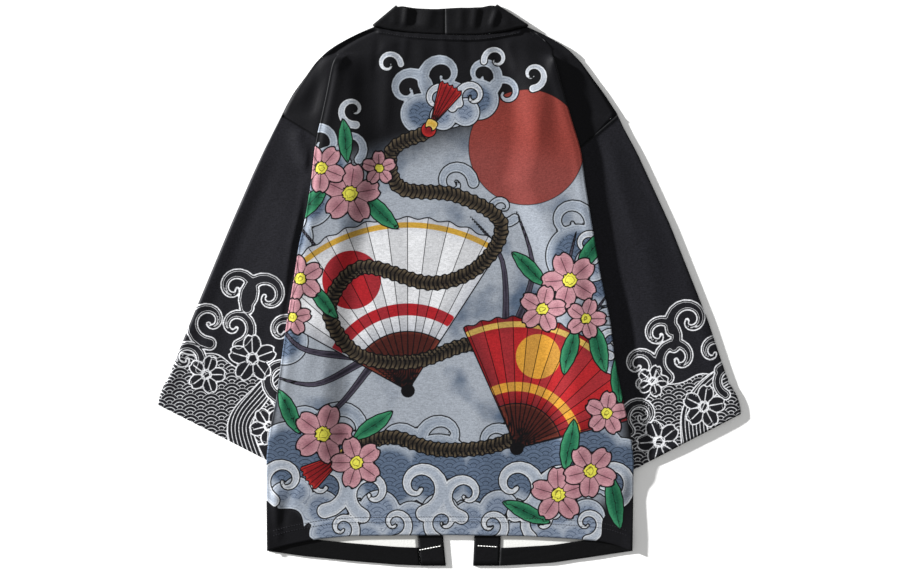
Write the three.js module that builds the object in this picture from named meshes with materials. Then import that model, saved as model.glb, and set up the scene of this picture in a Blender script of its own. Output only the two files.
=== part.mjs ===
// Open-front robe with three-quarter sleeves, laid flat with its back up. Sizes in mm, +Z up,
// +Y towards the collar, the floor at z = 0. Half widths are measured from the middle line.
import * as THREE from 'three';

const WALL = 1.2;            // cloth as a wall
const BAND_WALL = 2.4;       // collar band, cloth doubled
const HEM_WALL = 1.0;        // turned-up hem lying on the fronts
const SEAM = 0.3;            // gap between two sewn pieces
const LAYER = 2.0;           // from one folded layer to the next
const FLOOR = WALL / 2;      // middle of a layer lying on the floor
const SLEEVE_TURN = 0.9;     // bend radius along the sleeve's folded edges
const SLEEVE_PUFF = 2.2;     // air in the sleeve, at most
const DROP = 18;             // width over which a layer falls from the pile to the floor
const NECK_Y = 322.5;        // height of the two neck points
const HEM_Y = -332.5;        // lower corners of the back
const APEX_Y = 283;          // where the side pleat starts
const PLEAT_GROWTH = 0.37;   // pleat depth gained per mm downwards
const SEAM_END_Y = -200;     // below this the side seam is the edge of the body
const STRIP = 22;            // width of the turned-up hem

// outer edge of the shoulder: y, left, right
const SHOULDER = [
  [322.5, 94.4, 96.9], [316.2, 110.6, 111.9], [308.8, 125.6, 125.6], [301.2, 139.4, 139.4],
  [293.8, 150.6, 149.4], [286.2, 159.4, 156.9], [278.8, 166.9, 164.4], [256.2, 183.1, 180.6],
  [241.2, 194.4, 191.9], [226.2, 203.1, 201.9], [213.1, 209.6, 210.4],
];
// edge of the body: soft fold off the neck, then side fold, then side seam: y, left, right
const SIDE_FOLD = [
  [322.5, 94.4, 96.9], [305, 118.8, 113], [287.5, 142, 130], [275, 146.9, 133], [240, 153.5, 142.5],
  [203, 161.5, 153.3], [186, 165.6, 158.8], [167, 168.8, 164.4], [126, 173.1, 169.4],
  [81, 180.6, 176.9], [50, 188.1, 182.1], [15, 193.1, 188], [-45, 203.1, 200.8],
  [-90, 209.4, 206], [-140, 216, 215.7], [-187, 225.5, 226.3], [-218, 228.7, 230],
  [-275, 228.9, 229.6], [-332.5, 228.1, 228.6],
];
// heights of the layers at the side fold: y, back top, back outer, front outer, outer edge, side edge
const LEVELS = [
  [322.5, 3.4, 3.3, 0.62, 3.3, 3.4], [315, 4.6, 3.9, 0.9, 2.9, 4.6], [306, 6.2, 4.4, 1.7, 2.5, 6.2],
  [297, 7.9, 5.0, 2.8, 2.2, 7.9], [287.5, 9.1, 5.7, 3.7, 2.1, 9.1], [277, 10.2, 6.4, 4.4, 2.1, 10.2],
  [262, 10.6, 6.6, 4.6, 2.1, 10.6], [-187, 10.6, 6.6, 4.6, 2.1, 10.6], [-203, 9.8, 6.2, 4.2, 2.1, 9.8],
  [-219, 8.2, 4.9, 2.9, 2.1, 7.6], [-235, 7.2, 4.4, 2.4, 2.1, 6.8], [-248, 6.8, 4.4, 2.4, 2.1, 3.6],
  [-263, 6.6, 4.4, 2.4, 2.1, 2.2], [-284, 4.4, 4.4, 2.4, 2.1, 2.4], [-308, 3.6, 4.4, 2.4, 2.1, 3.4],
  [-332.5, 3.5, 4.4, 2.4, 2.1, 3.5],
];
// how far the pleat still lies open above its tip: y, width
const OPEN_PLEAT = [[322.5, 0.5], [315, 5], [306, 8], [297, 8], [287.5, 4], [283, 0]];
// middle of the back over the fronts: y, height
const MIDDLE = [[322.5, 5], [-270, 5], [-332.5, 3.5]];
// neckline of the back: x, dip
const NECK_DIP = [[-94.4, 0], [-72, -3.9], [-48, -7.5], [-5.6, -10], [38, -10.6], [70, -5.5], [96.9, 0]];
// back hem: x, rise from its corners
const HEM_RISE = [
  [-228, 0], [-200, 8], [-164, 15], [-124, 18.8], [-4, 20], [88, 18.8], [138, 16.2], [188, 12.5],
  [208, 8], [228, 0],
];
// front hems: half width, left fall, right fall from the corner
const FRONT_FALL = [
  [30, -18.8, -18.8], [67, -17.5, -18.8], [127, -12.5, -15.4], [187, -6.2, -6.5], [230, 0, 0],
];
// outer edge of the sleeve: y, left, right
const SLEEVE_OUTER = [
  [213.1, 209.6, 210.4], [196.2, 218.1, 218.1], [166.2, 233.1, 234.4], [136.2, 246.9, 248.1],
  [76.2, 273.1, 275.6], [16.2, 298.1, 299.4], [-43.8, 323.1, 323.1], [-103.8, 346.9, 343.1],
  [-161.2, 366, 364.4],
];
const SIDES = {
  left: {
    sign: -1, col: 1, tip: [209.6, 213.1], meet: [165.6, 186.2], under: [159.4, 15],
    cuffOuter: [364.4, -150], cuffInner: [174.4, -246.2],
    bandOuter: [94.4, 36.1], bandInner: [66.9, 4.6],
  },
  right: {
    sign: 1, col: 2, tip: [210.4, 213.1], meet: [164.4, 173.8], under: [156, 15],
    cuffOuter: [364.4, -161.2], cuffInner: [176.5, -258.8],
    bandOuter: [96.9, 61.9], bandInner: [59.4, 29.4],
  },
};
const ROWS = [
  322.5, 315, 306, 297, 287.5, 277, 262, 245, 229, 213.1, 204.6, 195.4, 186.2, 172.5, 158.8, 142,
  126.5, 105, 80, 48, 15, -20, -60, -100, -140, -170, -187, -203, -219, -235, -248, -263, -284, -308, -332.5,
];
const BAND_TOP = [[-66.9, 350], [-51.9, 346.6], [-21.9, 344.2], [8.1, 346.2], [38.1, 346.4], [59.4, 351.2]];
const CENTRE_BACK = -5.6;    // seam that joins the two collar bands
const BAND_BOTTOM = -351.2;

const clamp = (v, a, b) => Math.min(b, Math.max(a, v));
const mix = (a, b, f) => a + (b - a) * f;
const ease = (f) => { const g = clamp(f, 0, 1); return g * g * (3 - 2 * g); };
// value of column c where column 0 is v; rows may run either way
function look(rows, v, c = 1) {
  const up = rows[0][0] < rows[rows.length - 1][0];
  const r = up ? rows : rows.slice().reverse();
  if (v <= r[0][0]) return r[0][c];
  for (let i = 1; i < r.length; i++) {
    if (v <= r[i][0]) return mix(r[i - 1][c], r[i][c], (v - r[i - 1][0]) / (r[i][0] - r[i - 1][0]));
  }
  return r[r.length - 1][c];
}

// armhole seam: a straight line from the shoulder tip through the point where the fold hides it
const armholeX = (s, y) => {
  const slope = (s.tip[0] - s.meet[0]) / (s.tip[1] - s.meet[1]);
  return s.tip[0] - slope * (s.tip[1] - y);
};
const pleat = (y) => (y < APEX_Y ? PLEAT_GROWTH * (APEX_Y - y) : -look(OPEN_PLEAT, y));
const fold = (s, y) => look(SIDE_FOLD, y, s.col);
// where the armhole seam reaches the valley of the pleat
function junction(s) {
  for (let y = s.tip[1]; y > 0; y -= 0.5) if (armholeX(s, y) <= fold(s, y) - 1.6 - pleat(y)) return y;
  return 0;
}
const JUNCTION = { left: junction(SIDES.left), right: junction(SIDES.right) };
// edge of the middle layer below that point: armhole, then side seam
function middleEdge(s, y) {
  const j = s.sign < 0 ? JUNCTION.left : JUNCTION.right;
  const start = fold(s, j) - 1.6 - pleat(j);
  if (y >= s.under[1]) return mix(s.under[0], start, clamp((y - s.under[1]) / (j - s.under[1]), 0, 1));
  return mix(s.under[0], fold(s, SEAM_END_Y), clamp((s.under[1] - y) / (s.under[1] - SEAM_END_Y), 0, 1));
}
function stackEdge(s, y) {
  const j = s.sign < 0 ? JUNCTION.left : JUNCTION.right;
  if (y > APEX_Y) return fold(s, y) - 6;
  if (y > j) return fold(s, y) - 1.6 - pleat(y) - 7;
  if (y > s.under[1]) return middleEdge(s, y) - 6;
  return mix(s.under[0] - 6, 168, clamp((s.under[1] - y) / 260, 0, 1));
}

// one row across half a panel, from its outer edge to the middle: outer layer, valley fold,
// middle layer, side fold, top layer
function halfRow(s, y, back) {
  const M = fold(s, y);
  const [z1, z3, zE, zS] = back
    ? [look(LEVELS, y, 1), look(LEVELS, y, 2), look(LEVELS, y, 4), look(LEVELS, y, 5)]
    : [FLOOR, look(LEVELS, y, 3), FLOOR, FLOOR];
  const z2 = (z1 + z3) / 2, r = Math.abs(z1 - z3) / 4, dir = Math.sign(z1 - z3);
  const over = pleat(y), open = Math.max(0, -over), depth = Math.max(0, over);
  const theta = open > 0 ? 2 * Math.atan2(2 * r, open) : Math.PI;
  const x0 = M - WALL / 2 - r, xv = x0 + open - depth;
  const j = s.sign < 0 ? JUNCTION.left : JUNCTION.right;
  const tipY = s.tip[1];
  const outer = [], valley = [], middle = [], side = [];
  const seamEdge = y <= SEAM_END_Y;
  const onMiddle = y <= j + 0.3 && !seamEdge;
  if (!seamEdge) {
    for (let i = 0; i <= 4; i++) {
      const f = theta * i / 4;
      side.push([x0 + r * Math.sin(f), z1 - dir * r * (1 - Math.cos(f))]);
    }
  }
  if (onMiddle) {
    const e = [Math.min(middleEdge(s, y), x0), z2];
    for (let i = 0; i < 5; i++) outer.push(e);
    for (let i = 0; i < 3; i++) valley.push(e);
    middle.push(e);
  } else if (!seamEdge) {
    const E = y >= tipY ? look(SHOULDER, y, s.col) : armholeX(s, y);
    const w = Math.min(DROP, Math.max(0.5, E - M - 1));
    const flat = y >= tipY ? zE : mix(zE, FLOOR + 2 * SLEEVE_TURN, back ? clamp((tipY - y) / 6, 0, 1) : 0);
    const at = (x) => [x, mix(z3, flat, ease((x - M - 1) / w))];
    for (const x of [E, Math.min(E, M + 1 + w), Math.min(E, M + 1 + w / 2), Math.min(E, M + 1)]) {
      outer.push(at(Math.max(x, xv)));
    }
    outer.push([Math.min(xv, Math.max(E, xv)), z3]);
    for (let i = 1; i <= 3; i++) {
      const f = theta * i / 3;
      valley.push([xv - r * Math.sin(f), z3 + dir * r * (1 - Math.cos(f))]);
    }
    middle.push([(valley[2][0] + side[4][0]) / 2, (valley[2][1] + side[4][1]) / 2]);
  } else {
    for (let i = 0; i < 5; i++) outer.push([M, zS]);
    for (let i = 0; i < 3; i++) valley.push([M, zS]);
    middle.push([M, zS]);
    for (let i = 0; i <= 4; i++) side.push([M, zS]);
  }
  side.reverse();
  const c0 = side[side.length - 1][0];
  const top = [];
  if (back) {
    const zc = look(MIDDLE, y);
    const c1 = c0 - 14, c2 = Math.min(stackEdge(s, y), c1 - 5);
    top.push([c1, mix(zS, z1, 0.85)], [c2, z1], [c2 - 18, mix(z1, zc, 0.5)], [c2 - 38, zc],
      [(c2 - 38) / 2, zc]);
  }
  return { outer, valley, middle, side, top, c0 };
}
const joinRow = (h) => [...h.outer, ...h.valley, ...h.middle, ...h.side, ...h.top];

// a sheet of mid points (rows of columns) made into a closed wall; points that fall together are one
function wall(grid, thick, closed = false) {
  const key = new Map(), pts = [], id = [];
  for (const row of grid) {
    id.push(row.map((p) => {
      const k = p.map((v) => Math.round(v * 1000)).join();
      if (!key.has(k)) { key.set(k, pts.length); pts.push(new THREE.Vector3(...p)); }
      return key.get(k);
    }));
  }
  const tris = [];
  const add = (a, b, c) => { if (a !== b && b !== c && a !== c) tris.push([a, b, c]); };
  for (let i = 0; i + 1 < id.length; i++) {
    const n = id[i].length;
    for (let k = 0; k < (closed ? n : n - 1); k++) {
      const l = (k + 1) % n;
      add(id[i][k], id[i + 1][k], id[i][l]);
      add(id[i][l], id[i + 1][k], id[i + 1][l]);
    }
  }
  const normal = pts.map(() => new THREE.Vector3());
  const e1 = new THREE.Vector3(), e2 = new THREE.Vector3();
  for (const t of tris) {
    for (let c = 0; c < 3; c++) {
      e1.subVectors(pts[t[(c + 1) % 3]], pts[t[c]]);
      e2.subVectors(pts[t[(c + 2) % 3]], pts[t[c]]);
      const angle = e1.angleTo(e2);
      normal[t[c]].addScaledVector(e1.cross(e2).normalize(), angle);
    }
  }
  normal.forEach((v) => v.normalize());
  const half = thick / 2, n = pts.length, pos = [];
  for (const s of [half, -half]) pts.forEach((p, i) => {
    const q = p.clone().addScaledVector(normal[i], s);
    pos.push(q.x, q.y, Math.max(0, q.z));
  });
  const index = [], edges = new Map();
  for (const [a, b, c] of tris) {
    index.push(a, b, c, a + n, c + n, b + n);
    for (const [u, v] of [[a, b], [b, c], [c, a]]) {
      if (edges.has(`${v},${u}`)) edges.delete(`${v},${u}`); else edges.set(`${u},${v}`, [u, v]);
    }
  }
  for (const [u, v] of edges.values()) index.push(u, u + n, v, v, u + n, v + n);
  const g = new THREE.BufferGeometry();
  g.setAttribute('position', new THREE.Float32BufferAttribute(pos, 3));
  g.setIndex(index);
  g.computeVertexNormals();
  return g;
}

function backRow(y) {
  const left = joinRow(halfRow(SIDES.left, y, true)).map(([x, z]) => [-x, z]);
  const right = joinRow(halfRow(SIDES.right, y, true)).reverse();
  const wTop = ease((y - 235) / (NECK_Y - 235)), wHem = ease((-205 - y) / (-205 - HEM_Y));
  return [...left, [0, look(MIDDLE, y)], ...right].map(([x, z]) =>
    [x, y + wTop * look(NECK_DIP, x) + wHem * look(HEM_RISE, x), z]);
}
const backPanel = () => wall(ROWS.map(backRow), WALL);

function bandEdge(s, pair, y) { return mix(pair[1], pair[0], (y - BAND_BOTTOM) / (NECK_Y - BAND_BOTTOM)); }

function frontFall(s, y, x) {
  return ease((-205 - y) / (-205 - HEM_Y)) * look(FRONT_FALL, x, s.col);
}
function frontRow(s, y) {
  const h = halfRow(s, y, false);
  const xin = bandEdge(s, s.bandOuter, y + frontFall(s, y, 45)) + SEAM;
  for (let i = 1; i <= 4; i++) h.top.push([mix(h.c0, xin, i / 4), FLOOR]);
  return joinRow(h).map(([x, z]) => [s.sign * x, y + frontFall(s, y, x), z]);
}
function frontPanel(s) {
  const rows = ROWS.filter((y) => y < 316);
  const grid = rows.map((y) => frontRow(s, y));
  if (s.sign > 0) grid.forEach((r) => r.reverse());
  return wall(grid, WALL);
}
// turned-up hem: strip made from the points of the front near its lower edge, moved up
function frontHem(s) {
  const n = 6, x1 = fold(s, HEM_Y) - 1.5;
  const grid = [STRIP, STRIP / 2, 0].map((up) => Array.from({ length: n + 1 }, (_, i) => {
    const y0 = HEM_Y + look(FRONT_FALL, 45, s.col) + up + 0.3;
    const x = mix(x1, bandEdge(s, s.bandOuter, y0) + SEAM, i / n);
    return [s.sign * x, HEM_Y + look(FRONT_FALL, x, s.col) + up + 0.3, WALL + SEAM + HEM_WALL / 2];
  }));
  if (s.sign > 0) grid.forEach((r) => r.reverse());
  return wall(grid, HEM_WALL);
}

// height of a sleeve layer at a half width x in the row y
function sleeveZ(s, x, y, upper, puff) {
  const M = fold(s, y), pile = look(LEVELS, y, upper ? 2 : 3);
  const ground = upper ? FLOOR + 2 * SLEEVE_TURN + puff : FLOOR;
  return mix(pile, ground, ease((x - M - 1) / DROP));
}
function sleeve(s) {
  const rows = 15, seg = 3;
  const dx = s.tip[0] - s.meet[0], dy = s.tip[1] - s.meet[1], len = Math.hypot(dx, dy);
  const off = [(dy / len) * SEAM * 1.5, (-dx / len) * SEAM * 1.5];   // down the sleeve, off the armhole seam
  const j = s.sign < 0 ? JUNCTION.left : JUNCTION.right;
  const hidden = [armholeX(s, j + 4), j + 4];
  const grid = [];
  for (let i = 0; i <= rows; i++) {
    const v = i / rows;
    const yo = mix(s.tip[1], s.cuffOuter[1], v);
    let O = [i === rows ? s.cuffOuter[0] : look(SLEEVE_OUTER, yo, s.col), yo];
    const w = v * 1.12;
    let I = w < 0.45
      ? [mix(hidden[0], s.under[0] + 3, w / 0.45), mix(hidden[1], s.under[1], w / 0.45)]
      : [mix(s.under[0] + 3, s.cuffInner[0], (w - 0.45) / 0.67), mix(s.under[1], s.cuffInner[1], (w - 0.45) / 0.67)];
    const fade = Math.max(0, 1 - v * 5);
    O = [O[0] + off[0] * fade, O[1] + off[1] * fade];
    I = [I[0] + off[0] * fade, I[1] + off[1] * fade];
    const at = (f) => [mix(O[0], I[0], f), mix(O[1], I[1], f)];
    // fraction along the row where it is d outside the side fold
    const cross = (d) => {
      let a = 0, b = 1;
      for (let k = 0; k < 30; k++) {
        const m = (a + b) / 2, p = at(m);
        if (p[0] > fold(s, p[1]) + d) a = m; else b = m;
      }
      return a;
    };
    const width = Math.hypot(O[0] - I[0], O[1] - I[1]), r = SLEEVE_TURN, inset = (r + WALL / 2) / width;
    const f19 = cross(DROP + 1), f10 = cross(DROP / 2 + 1), f1 = cross(1);
    const spots = [inset, mix(inset, f19, 1 / 3), mix(inset, f19, 2 / 3), f19, f10, f1, 1 - inset];
    const bump = [0, 0.87, 0.87, 0, 0, 0, 0].map((b) => b * SLEEVE_PUFF * ease(v / 0.2));
    const loop = [];
    const put = (f, z) => { const p = at(f); loop.push([s.sign * p[0], p[1], z]); };
    spots.forEach((f, k) => { const p = at(f); put(f, sleeveZ(s, p[0], p[1], true, bump[k])); });
    const turn = (f, sgn) => {
      const p = at(f), zu = sleeveZ(s, p[0], p[1], true, 0), zl = sleeveZ(s, p[0], p[1], false, 0);
      const rr = (zu - zl) / 2;
      for (let k = 1; k < seg + 1; k++) {
        const a = Math.PI * k / (seg + 1);
        const up = sgn > 0 ? Math.cos(a) : -Math.cos(a);
        put(f + sgn * (rr * Math.sin(a)) / width, (zu + zl) / 2 + rr * up);
      }
    };
    turn(1 - inset, 1);
    spots.slice().reverse().forEach((f) => { const p = at(f); put(f, sleeveZ(s, p[0], p[1], false, 0)); });
    turn(inset, -1);
    grid.push(loop);
  }
  if (s.sign > 0) grid.forEach((r) => r.reverse());
  return wall(grid, WALL, true);
}

// collar band: half of the back neck, folded over at the neck point, then down the front edge
function collarBand(s) {
  const sg = s.sign, zb = look(MIDDLE, NECK_Y), zf = BAND_WALL / 2, r = (zb - zf) / 2;
  const A = [s.bandOuter[0] + 2, NECK_Y + 2.8], B = [s.bandInner[0], s.sign < 0 ? 350 : 351.2];
  const foldLen = Math.hypot(A[0] - B[0], A[1] - B[1]);
  const nx = (B[1] - A[1]) / foldLen, ny = (A[0] - B[0]) / foldLen;      // out of the fold line
  const inset = r + BAND_WALL / 2;
  const across = [0, 0.5, 1], grid = [];
  const station = (a, b, z) => grid.push(across.map((f) => [sg * mix(a[0], b[0], f), mix(a[1], b[1], f), z]));
  const cb = sg < 0 ? -CENTRE_BACK + SEAM / 2 : CENTRE_BACK + SEAM / 2;
  const fa = [A[0] - nx * inset, A[1] - ny * inset], fb = [B[0] - nx * inset, B[1] - ny * inset];
  const neckRow = backRow(NECK_Y);
  for (let i = 0; i <= 5; i++) {
    const f = i / 5;
    const xa = mix(cb, fa[0], f), xb = mix(cb, fb[0], f);
    const ya = look(neckRow, sg * xa) + SEAM;
    station([xa, Math.max(ya, i === 5 ? fa[1] : ya)], [xb, i === 5 ? fb[1] : look(BAND_TOP, sg * xb)], zb);
  }
  for (let i = 1; i <= 5; i++) {
    const a = Math.PI * i / 5, k = r * Math.sin(a), z = (zb + zf) / 2 + r * Math.cos(a);
    station([fa[0] + nx * k, fa[1] + ny * k], [fb[0] + nx * k, fb[1] + ny * k], z);
  }
  for (const y of [318, 300, 240, 170, 100, 30, -40, -110, -180, -240, -300, BAND_BOTTOM]) {
    station([bandEdge(s, s.bandOuter, y), y], [bandEdge(s, s.bandInner, y), y + (y > 310 ? 10 : 0)], zf);
  }
  if (sg > 0) grid.forEach((g) => g.reverse());
  return wall(grid, BAND_WALL);
}

function part(name, geometry, colour) {
  const mesh = new THREE.Mesh(geometry, new THREE.MeshStandardMaterial({ color: colour, roughness: 0.85 }));
  mesh.name = name;
  return mesh;
}

const robe = new THREE.Group();
robe.name = 'open_front_robe';
robe.add(part('back_panel', backPanel(), 0x26262b));
for (const [name, s] of Object.entries(SIDES)) {
  robe.add(part(`front_${name}`, frontPanel(s), 0xe9e9e6));
  robe.add(part(`front_hem_${name}`, frontHem(s), 0x1c1c1f));
  robe.add(part(`sleeve_${name}`, sleeve(s), 0x303036));
  robe.add(part(`collar_band_${name}`, collarBand(s), 0x2a2a2e));
}
export default robe;
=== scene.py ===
# %% [markdown]
# # Open-front robe, laid flat with its back up
# A light robe shirt of printed polyester: one back piece with dropped shoulders, two fronts, two
# wide three-quarter sleeves and a doubled collar band down to the hem. Each piece is a thin shell
# worked out from the sizes of the cut and of the way the robe is folded on the table.
# All sizes are in millimetres until a mesh is made, then metres.

# %% Frame
import math

import bpy
import numpy as np
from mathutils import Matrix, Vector


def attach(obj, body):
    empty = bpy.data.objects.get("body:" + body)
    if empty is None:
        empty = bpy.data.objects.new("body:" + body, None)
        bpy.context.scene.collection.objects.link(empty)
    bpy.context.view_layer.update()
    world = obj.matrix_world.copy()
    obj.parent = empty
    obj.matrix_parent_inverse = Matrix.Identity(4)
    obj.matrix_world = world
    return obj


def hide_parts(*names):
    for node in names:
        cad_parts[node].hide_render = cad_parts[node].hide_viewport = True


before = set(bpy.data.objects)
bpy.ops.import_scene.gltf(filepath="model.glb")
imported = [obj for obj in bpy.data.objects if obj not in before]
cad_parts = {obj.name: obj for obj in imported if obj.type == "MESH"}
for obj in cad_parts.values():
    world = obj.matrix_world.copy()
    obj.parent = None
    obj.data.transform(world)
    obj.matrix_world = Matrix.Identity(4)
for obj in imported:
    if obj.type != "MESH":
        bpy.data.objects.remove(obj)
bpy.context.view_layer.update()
MM = 0.001

# %% [markdown]
# ## Shader maths
# A socket is wrapped so that sums on it read like sums. Each sum adds a Math node, colours are
# blended by Mix nodes, and every other node comes from one method.


# %% Nodes from expressions
class Val:
    def __init__(self, kit, socket):
        self.kit, self.socket = kit, socket

    def __add__(self, o): return self.kit.math("ADD", self, o)
    def __sub__(self, o): return self.kit.math("SUBTRACT", self, o)
    def __rsub__(self, o): return self.kit.math("SUBTRACT", o, self)
    def __mul__(self, o): return self.kit.math("MULTIPLY", self, o)
    def __truediv__(self, o): return self.kit.math("DIVIDE", self, o)
    def __neg__(self): return self.kit.math("MULTIPLY", self, -1.0)
    def __abs__(self): return self.kit.math("ABSOLUTE", self)
    def clamp(self): return self.kit.node("ShaderNodeClamp", {}, {"Value": self})
    __radd__, __rmul__ = __add__, __mul__


class Kit:
    """The nodes of one material."""

    def __init__(self, name):
        self.material = bpy.data.materials.new(name)
        self.material.use_nodes = True
        self.tree = self.material.node_tree
        self.tree.nodes.clear()

    def node(self, kind, settings, inputs, out=0):
        n = self.tree.nodes.new(kind)
        for key, value in settings.items():
            setattr(n, key, value)
        for key, value in inputs.items():
            socket = n.inputs[key]
            if isinstance(value, Val):
                self.tree.links.new(value.socket, socket)
            else:
                socket.default_value = value
        return Val(self, n.outputs[out]) if len(n.outputs) else None

    def math(self, operation, *values):
        return self.node("ShaderNodeMath", {"operation": operation}, dict(enumerate(values)))

    def attribute(self, name):
        return self.node("ShaderNodeAttribute", {"attribute_name": name}, {}, "Fac")

    def noise(self, where, scale, detail=3.0):
        return self.node("ShaderNodeTexNoise", {},
                         {"Vector": where, "Scale": scale, "Detail": detail}, "Fac")

    def mix(self, factor, a, b):
        n = self.tree.nodes.new("ShaderNodeMix")
        n.data_type = "RGBA"
        for key, value in ((0, factor), (6, a), (7, b)):
            if isinstance(value, Val):
                self.tree.links.new(value.socket, n.inputs[key])
            else:
                n.inputs[key].default_value = (*value, 1.0) if key and len(value) == 3 else value
        return Val(self, n.outputs[2])

    def times(self, colour, tone):
        return self.node("ShaderNodeMix", {"data_type": "RGBA", "blend_type": "MULTIPLY"},
                         {0: 1.0, 6: colour if isinstance(colour, Val) else (*colour, 1.0), 7: tone}, 2)

    def choose(self, factor, a, b):
        return a + (b - a) * factor

    def inside(self, field, soft=0.35):
        """1 where a distance field in mm is below 0, with an edge as soft as print on cloth."""
        return (0.5 - field / (2 * soft)).clamp()

    def line(self, field, half, soft=0.35):
        """1 along the zero line of a distance field, as wide as a pen."""
        return (0.5 + (half - abs(field)) / (2 * soft)).clamp()

    def finish(self, colour, bump):
        """A soft, slightly glossy cloth of one colour field, with its weave as a small bump."""
        normal = self.node("ShaderNodeBump", {}, {"Height": bump, "Strength": 0.6, "Distance": 0.0004})
        shader = self.node("ShaderNodeBsdfPrincipled", {}, {
            "Base Color": colour, "Roughness": 0.55, "Normal": normal,
            "Sheen Weight": 0.02, "Sheen Roughness": 0.45, "Specular IOR Level": 0.085})
        self.node("ShaderNodeOutputMaterial", {}, {"Surface": shader})
        return self.material


# %% [markdown]
# ## Sizes of the robe
# Outlines are read as half widths from the middle line at a height on the table, for the left and
# the right side apart, because a robe laid down by hand is never quite even. Each table is joined
# by a line that is rounded a little, as cloth is.

# %% Tables of the outline and the layers
NECK_Y, HEM_Y, APEX_Y = 322.5, -332.5, 283.0
PLEAT_GROWTH, SEAM_END_Y = 0.37, -200.0
THICK, BAND_THICK = 0.8, 2.0
FLOOR = 0.6
# half height of a sleeve's folded edge, way over which it falls off the pile, a sleeve's length
SLEEVE_TURN, DROP, SLEEVE_WAY = 1.1, 17.0, 420
# points of a half row before its top layer: shoulder, valley, middle layer, turn at the side fold
OUTER_POINTS, VALLEY_POINTS, MIDDLE_POINTS, TURN_POINTS = 12, 5, 4, 9
TURN_START = OUTER_POINTS + VALLEY_POINTS + MIDDLE_POINTS
HIDDEN_POINTS = TURN_START + TURN_POINTS
HEM_BEGINS = -205

# y, left, right
SHOULDER = [
    (322.5, 94.4, 96.9), (316.2, 110.6, 111.9), (308.8, 125.6, 125.6), (301.2, 139.4, 139.4),
    (293.8, 150.6, 149.4), (286.2, 159.4, 156.9), (278.8, 166.9, 164.4), (256.2, 183.1, 180.6),
    (241.2, 194.4, 191.9), (226.2, 203.1, 201.9), (213.1, 209.6, 210.4),
]
SIDE_FOLD = [
    (322.5, 94.4, 96.9), (305, 118.8, 113), (287.5, 142, 130), (275, 146.9, 133),
    (240, 153.5, 142.5), (203, 161.5, 153.3), (186, 165.6, 158.8), (167, 168.8, 164.4),
    (126, 173.1, 169.4), (81, 180.6, 176.9), (50, 188.1, 182.1), (15, 193.1, 188),
    (-45, 203.1, 200.8), (-90, 209.4, 206), (-140, 216, 215.7), (-187, 225.5, 226.3),
    (-218, 228.7, 230), (-275, 228.9, 229.6), (-332.5, 228.1, 228.6),
]
# y, back top, back outer, front outer, outer edge, side edge, plumpness of the fold
LEVELS = [
    (322.5, 3.4, 3.3, 0.62, 3.3, 3.4, 0), (315, 4.6, 3.9, 0.9, 2.9, 4.6, 0),
    (306, 6.2, 4.4, 1.7, 2.5, 6.2, 0.4), (297, 7.9, 5.0, 2.8, 2.2, 7.9, 1.2),
    (287.5, 9.1, 5.7, 3.7, 2.1, 9.1, 2.0), (277, 10.2, 6.4, 4.4, 2.1, 10.2, 2.2),
    (262, 10.6, 6.6, 4.6, 2.1, 10.6, 1.8), (200, 10.6, 6.6, 4.6, 2.1, 10.6, 1.4),
    (-187, 10.6, 6.6, 4.6, 2.1, 10.6, 1.0), (-203, 9.8, 6.2, 4.2, 2.1, 9.8, 0.4),
    (-219, 8.2, 4.9, 2.9, 2.1, 7.6, 0), (-235, 7.2, 4.4, 2.4, 2.1, 6.8, 0),
    (-248, 6.8, 4.4, 2.4, 2.1, 4.6, 0), (-263, 6.6, 4.4, 2.4, 2.1, 3.8, 0),
    (-284, 4.4, 4.4, 2.4, 2.1, 4.2, 0), (-308, 3.6, 4.4, 2.4, 2.1, 4.8, 0),
    (-332.5, 3.5, 4.4, 2.4, 2.1, 4.7, 0),
]
OPEN_PLEAT = [(322.5, 0.5), (315, 5), (306, 8), (297, 8), (287.5, 4), (283, 0)]
MIDDLE = [(322.5, 5), (-270, 5), (-332.5, 3.5)]
NECK_DIP = [(-94.4, 0), (-72, -3.9), (-48, -7.5), (-5.6, -10), (38, -10.6), (70, -5.5), (96.9, 0)]
HEM_RISE = [(-228, 0), (-200, 8), (-164, 15), (-124, 18.8), (-4, 20), (88, 18.8), (138, 16.2),
            (188, 12.5), (208, 8), (228, 0)]
FRONT_FALL = [(30, -18.8, -18.8), (67, -17.5, -18.8), (127, -12.5, -15.4), (187, -6.2, -6.5),
              (230, 0, 0)]
SLEEVE_OUTER = [
    (213.1, 209.6, 210.4), (196.2, 218.1, 218.1), (166.2, 233.1, 234.4), (136.2, 246.9, 248.1),
    (76.2, 273.1, 275.6), (16.2, 298.1, 299.4), (-43.8, 323.1, 323.1), (-103.8, 346.9, 343.1),
    (-161.2, 366, 364.4),
]
BAND_TOP = [(-66.9, 350), (-51.9, 346.6), (-21.9, 344.2), (8.1, 346.2), (38.1, 346.4), (59.4, 351.2)]
CENTRE_BACK, BAND_BOTTOM = -5.6, -351.2
print("rows of the outline", len(SHOULDER) + len(SIDE_FOLD) + len(SLEEVE_OUTER))

# %% [markdown]
# ## Tables as curves
# Cloth has no corners, so each table is read as a line that is straight between its rows and
# rounded over a few millimetres. The upper layers fall from the pile to the table in a step beside
# the side fold and then a long gentle run-out.


# %% Curves
def curve(rows, column=1, soft=4.0):
    """A table as a function: straight between its rows, rounded over a few millimetres."""
    a = np.array(sorted(rows), float)
    x = np.linspace(a[0, 0], a[-1, 0], int(a[-1, 0] - a[0, 0]) + 1)
    v = np.interp(x, a[:, 0], a[:, column])
    pad = min(int(3 * soft), len(v) - 1)
    k = np.exp(-0.5 * (np.arange(-pad, pad + 1) / soft) ** 2)
    ends = 2 * v[0] - v[pad:0:-1], 2 * v[-1] - v[-2:-2 - pad:-1]
    smooth = np.convolve(np.concatenate([ends[0], v, ends[1]]), k / k.sum(), "valid")
    return lambda q: np.interp(q, x, smooth)


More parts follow.
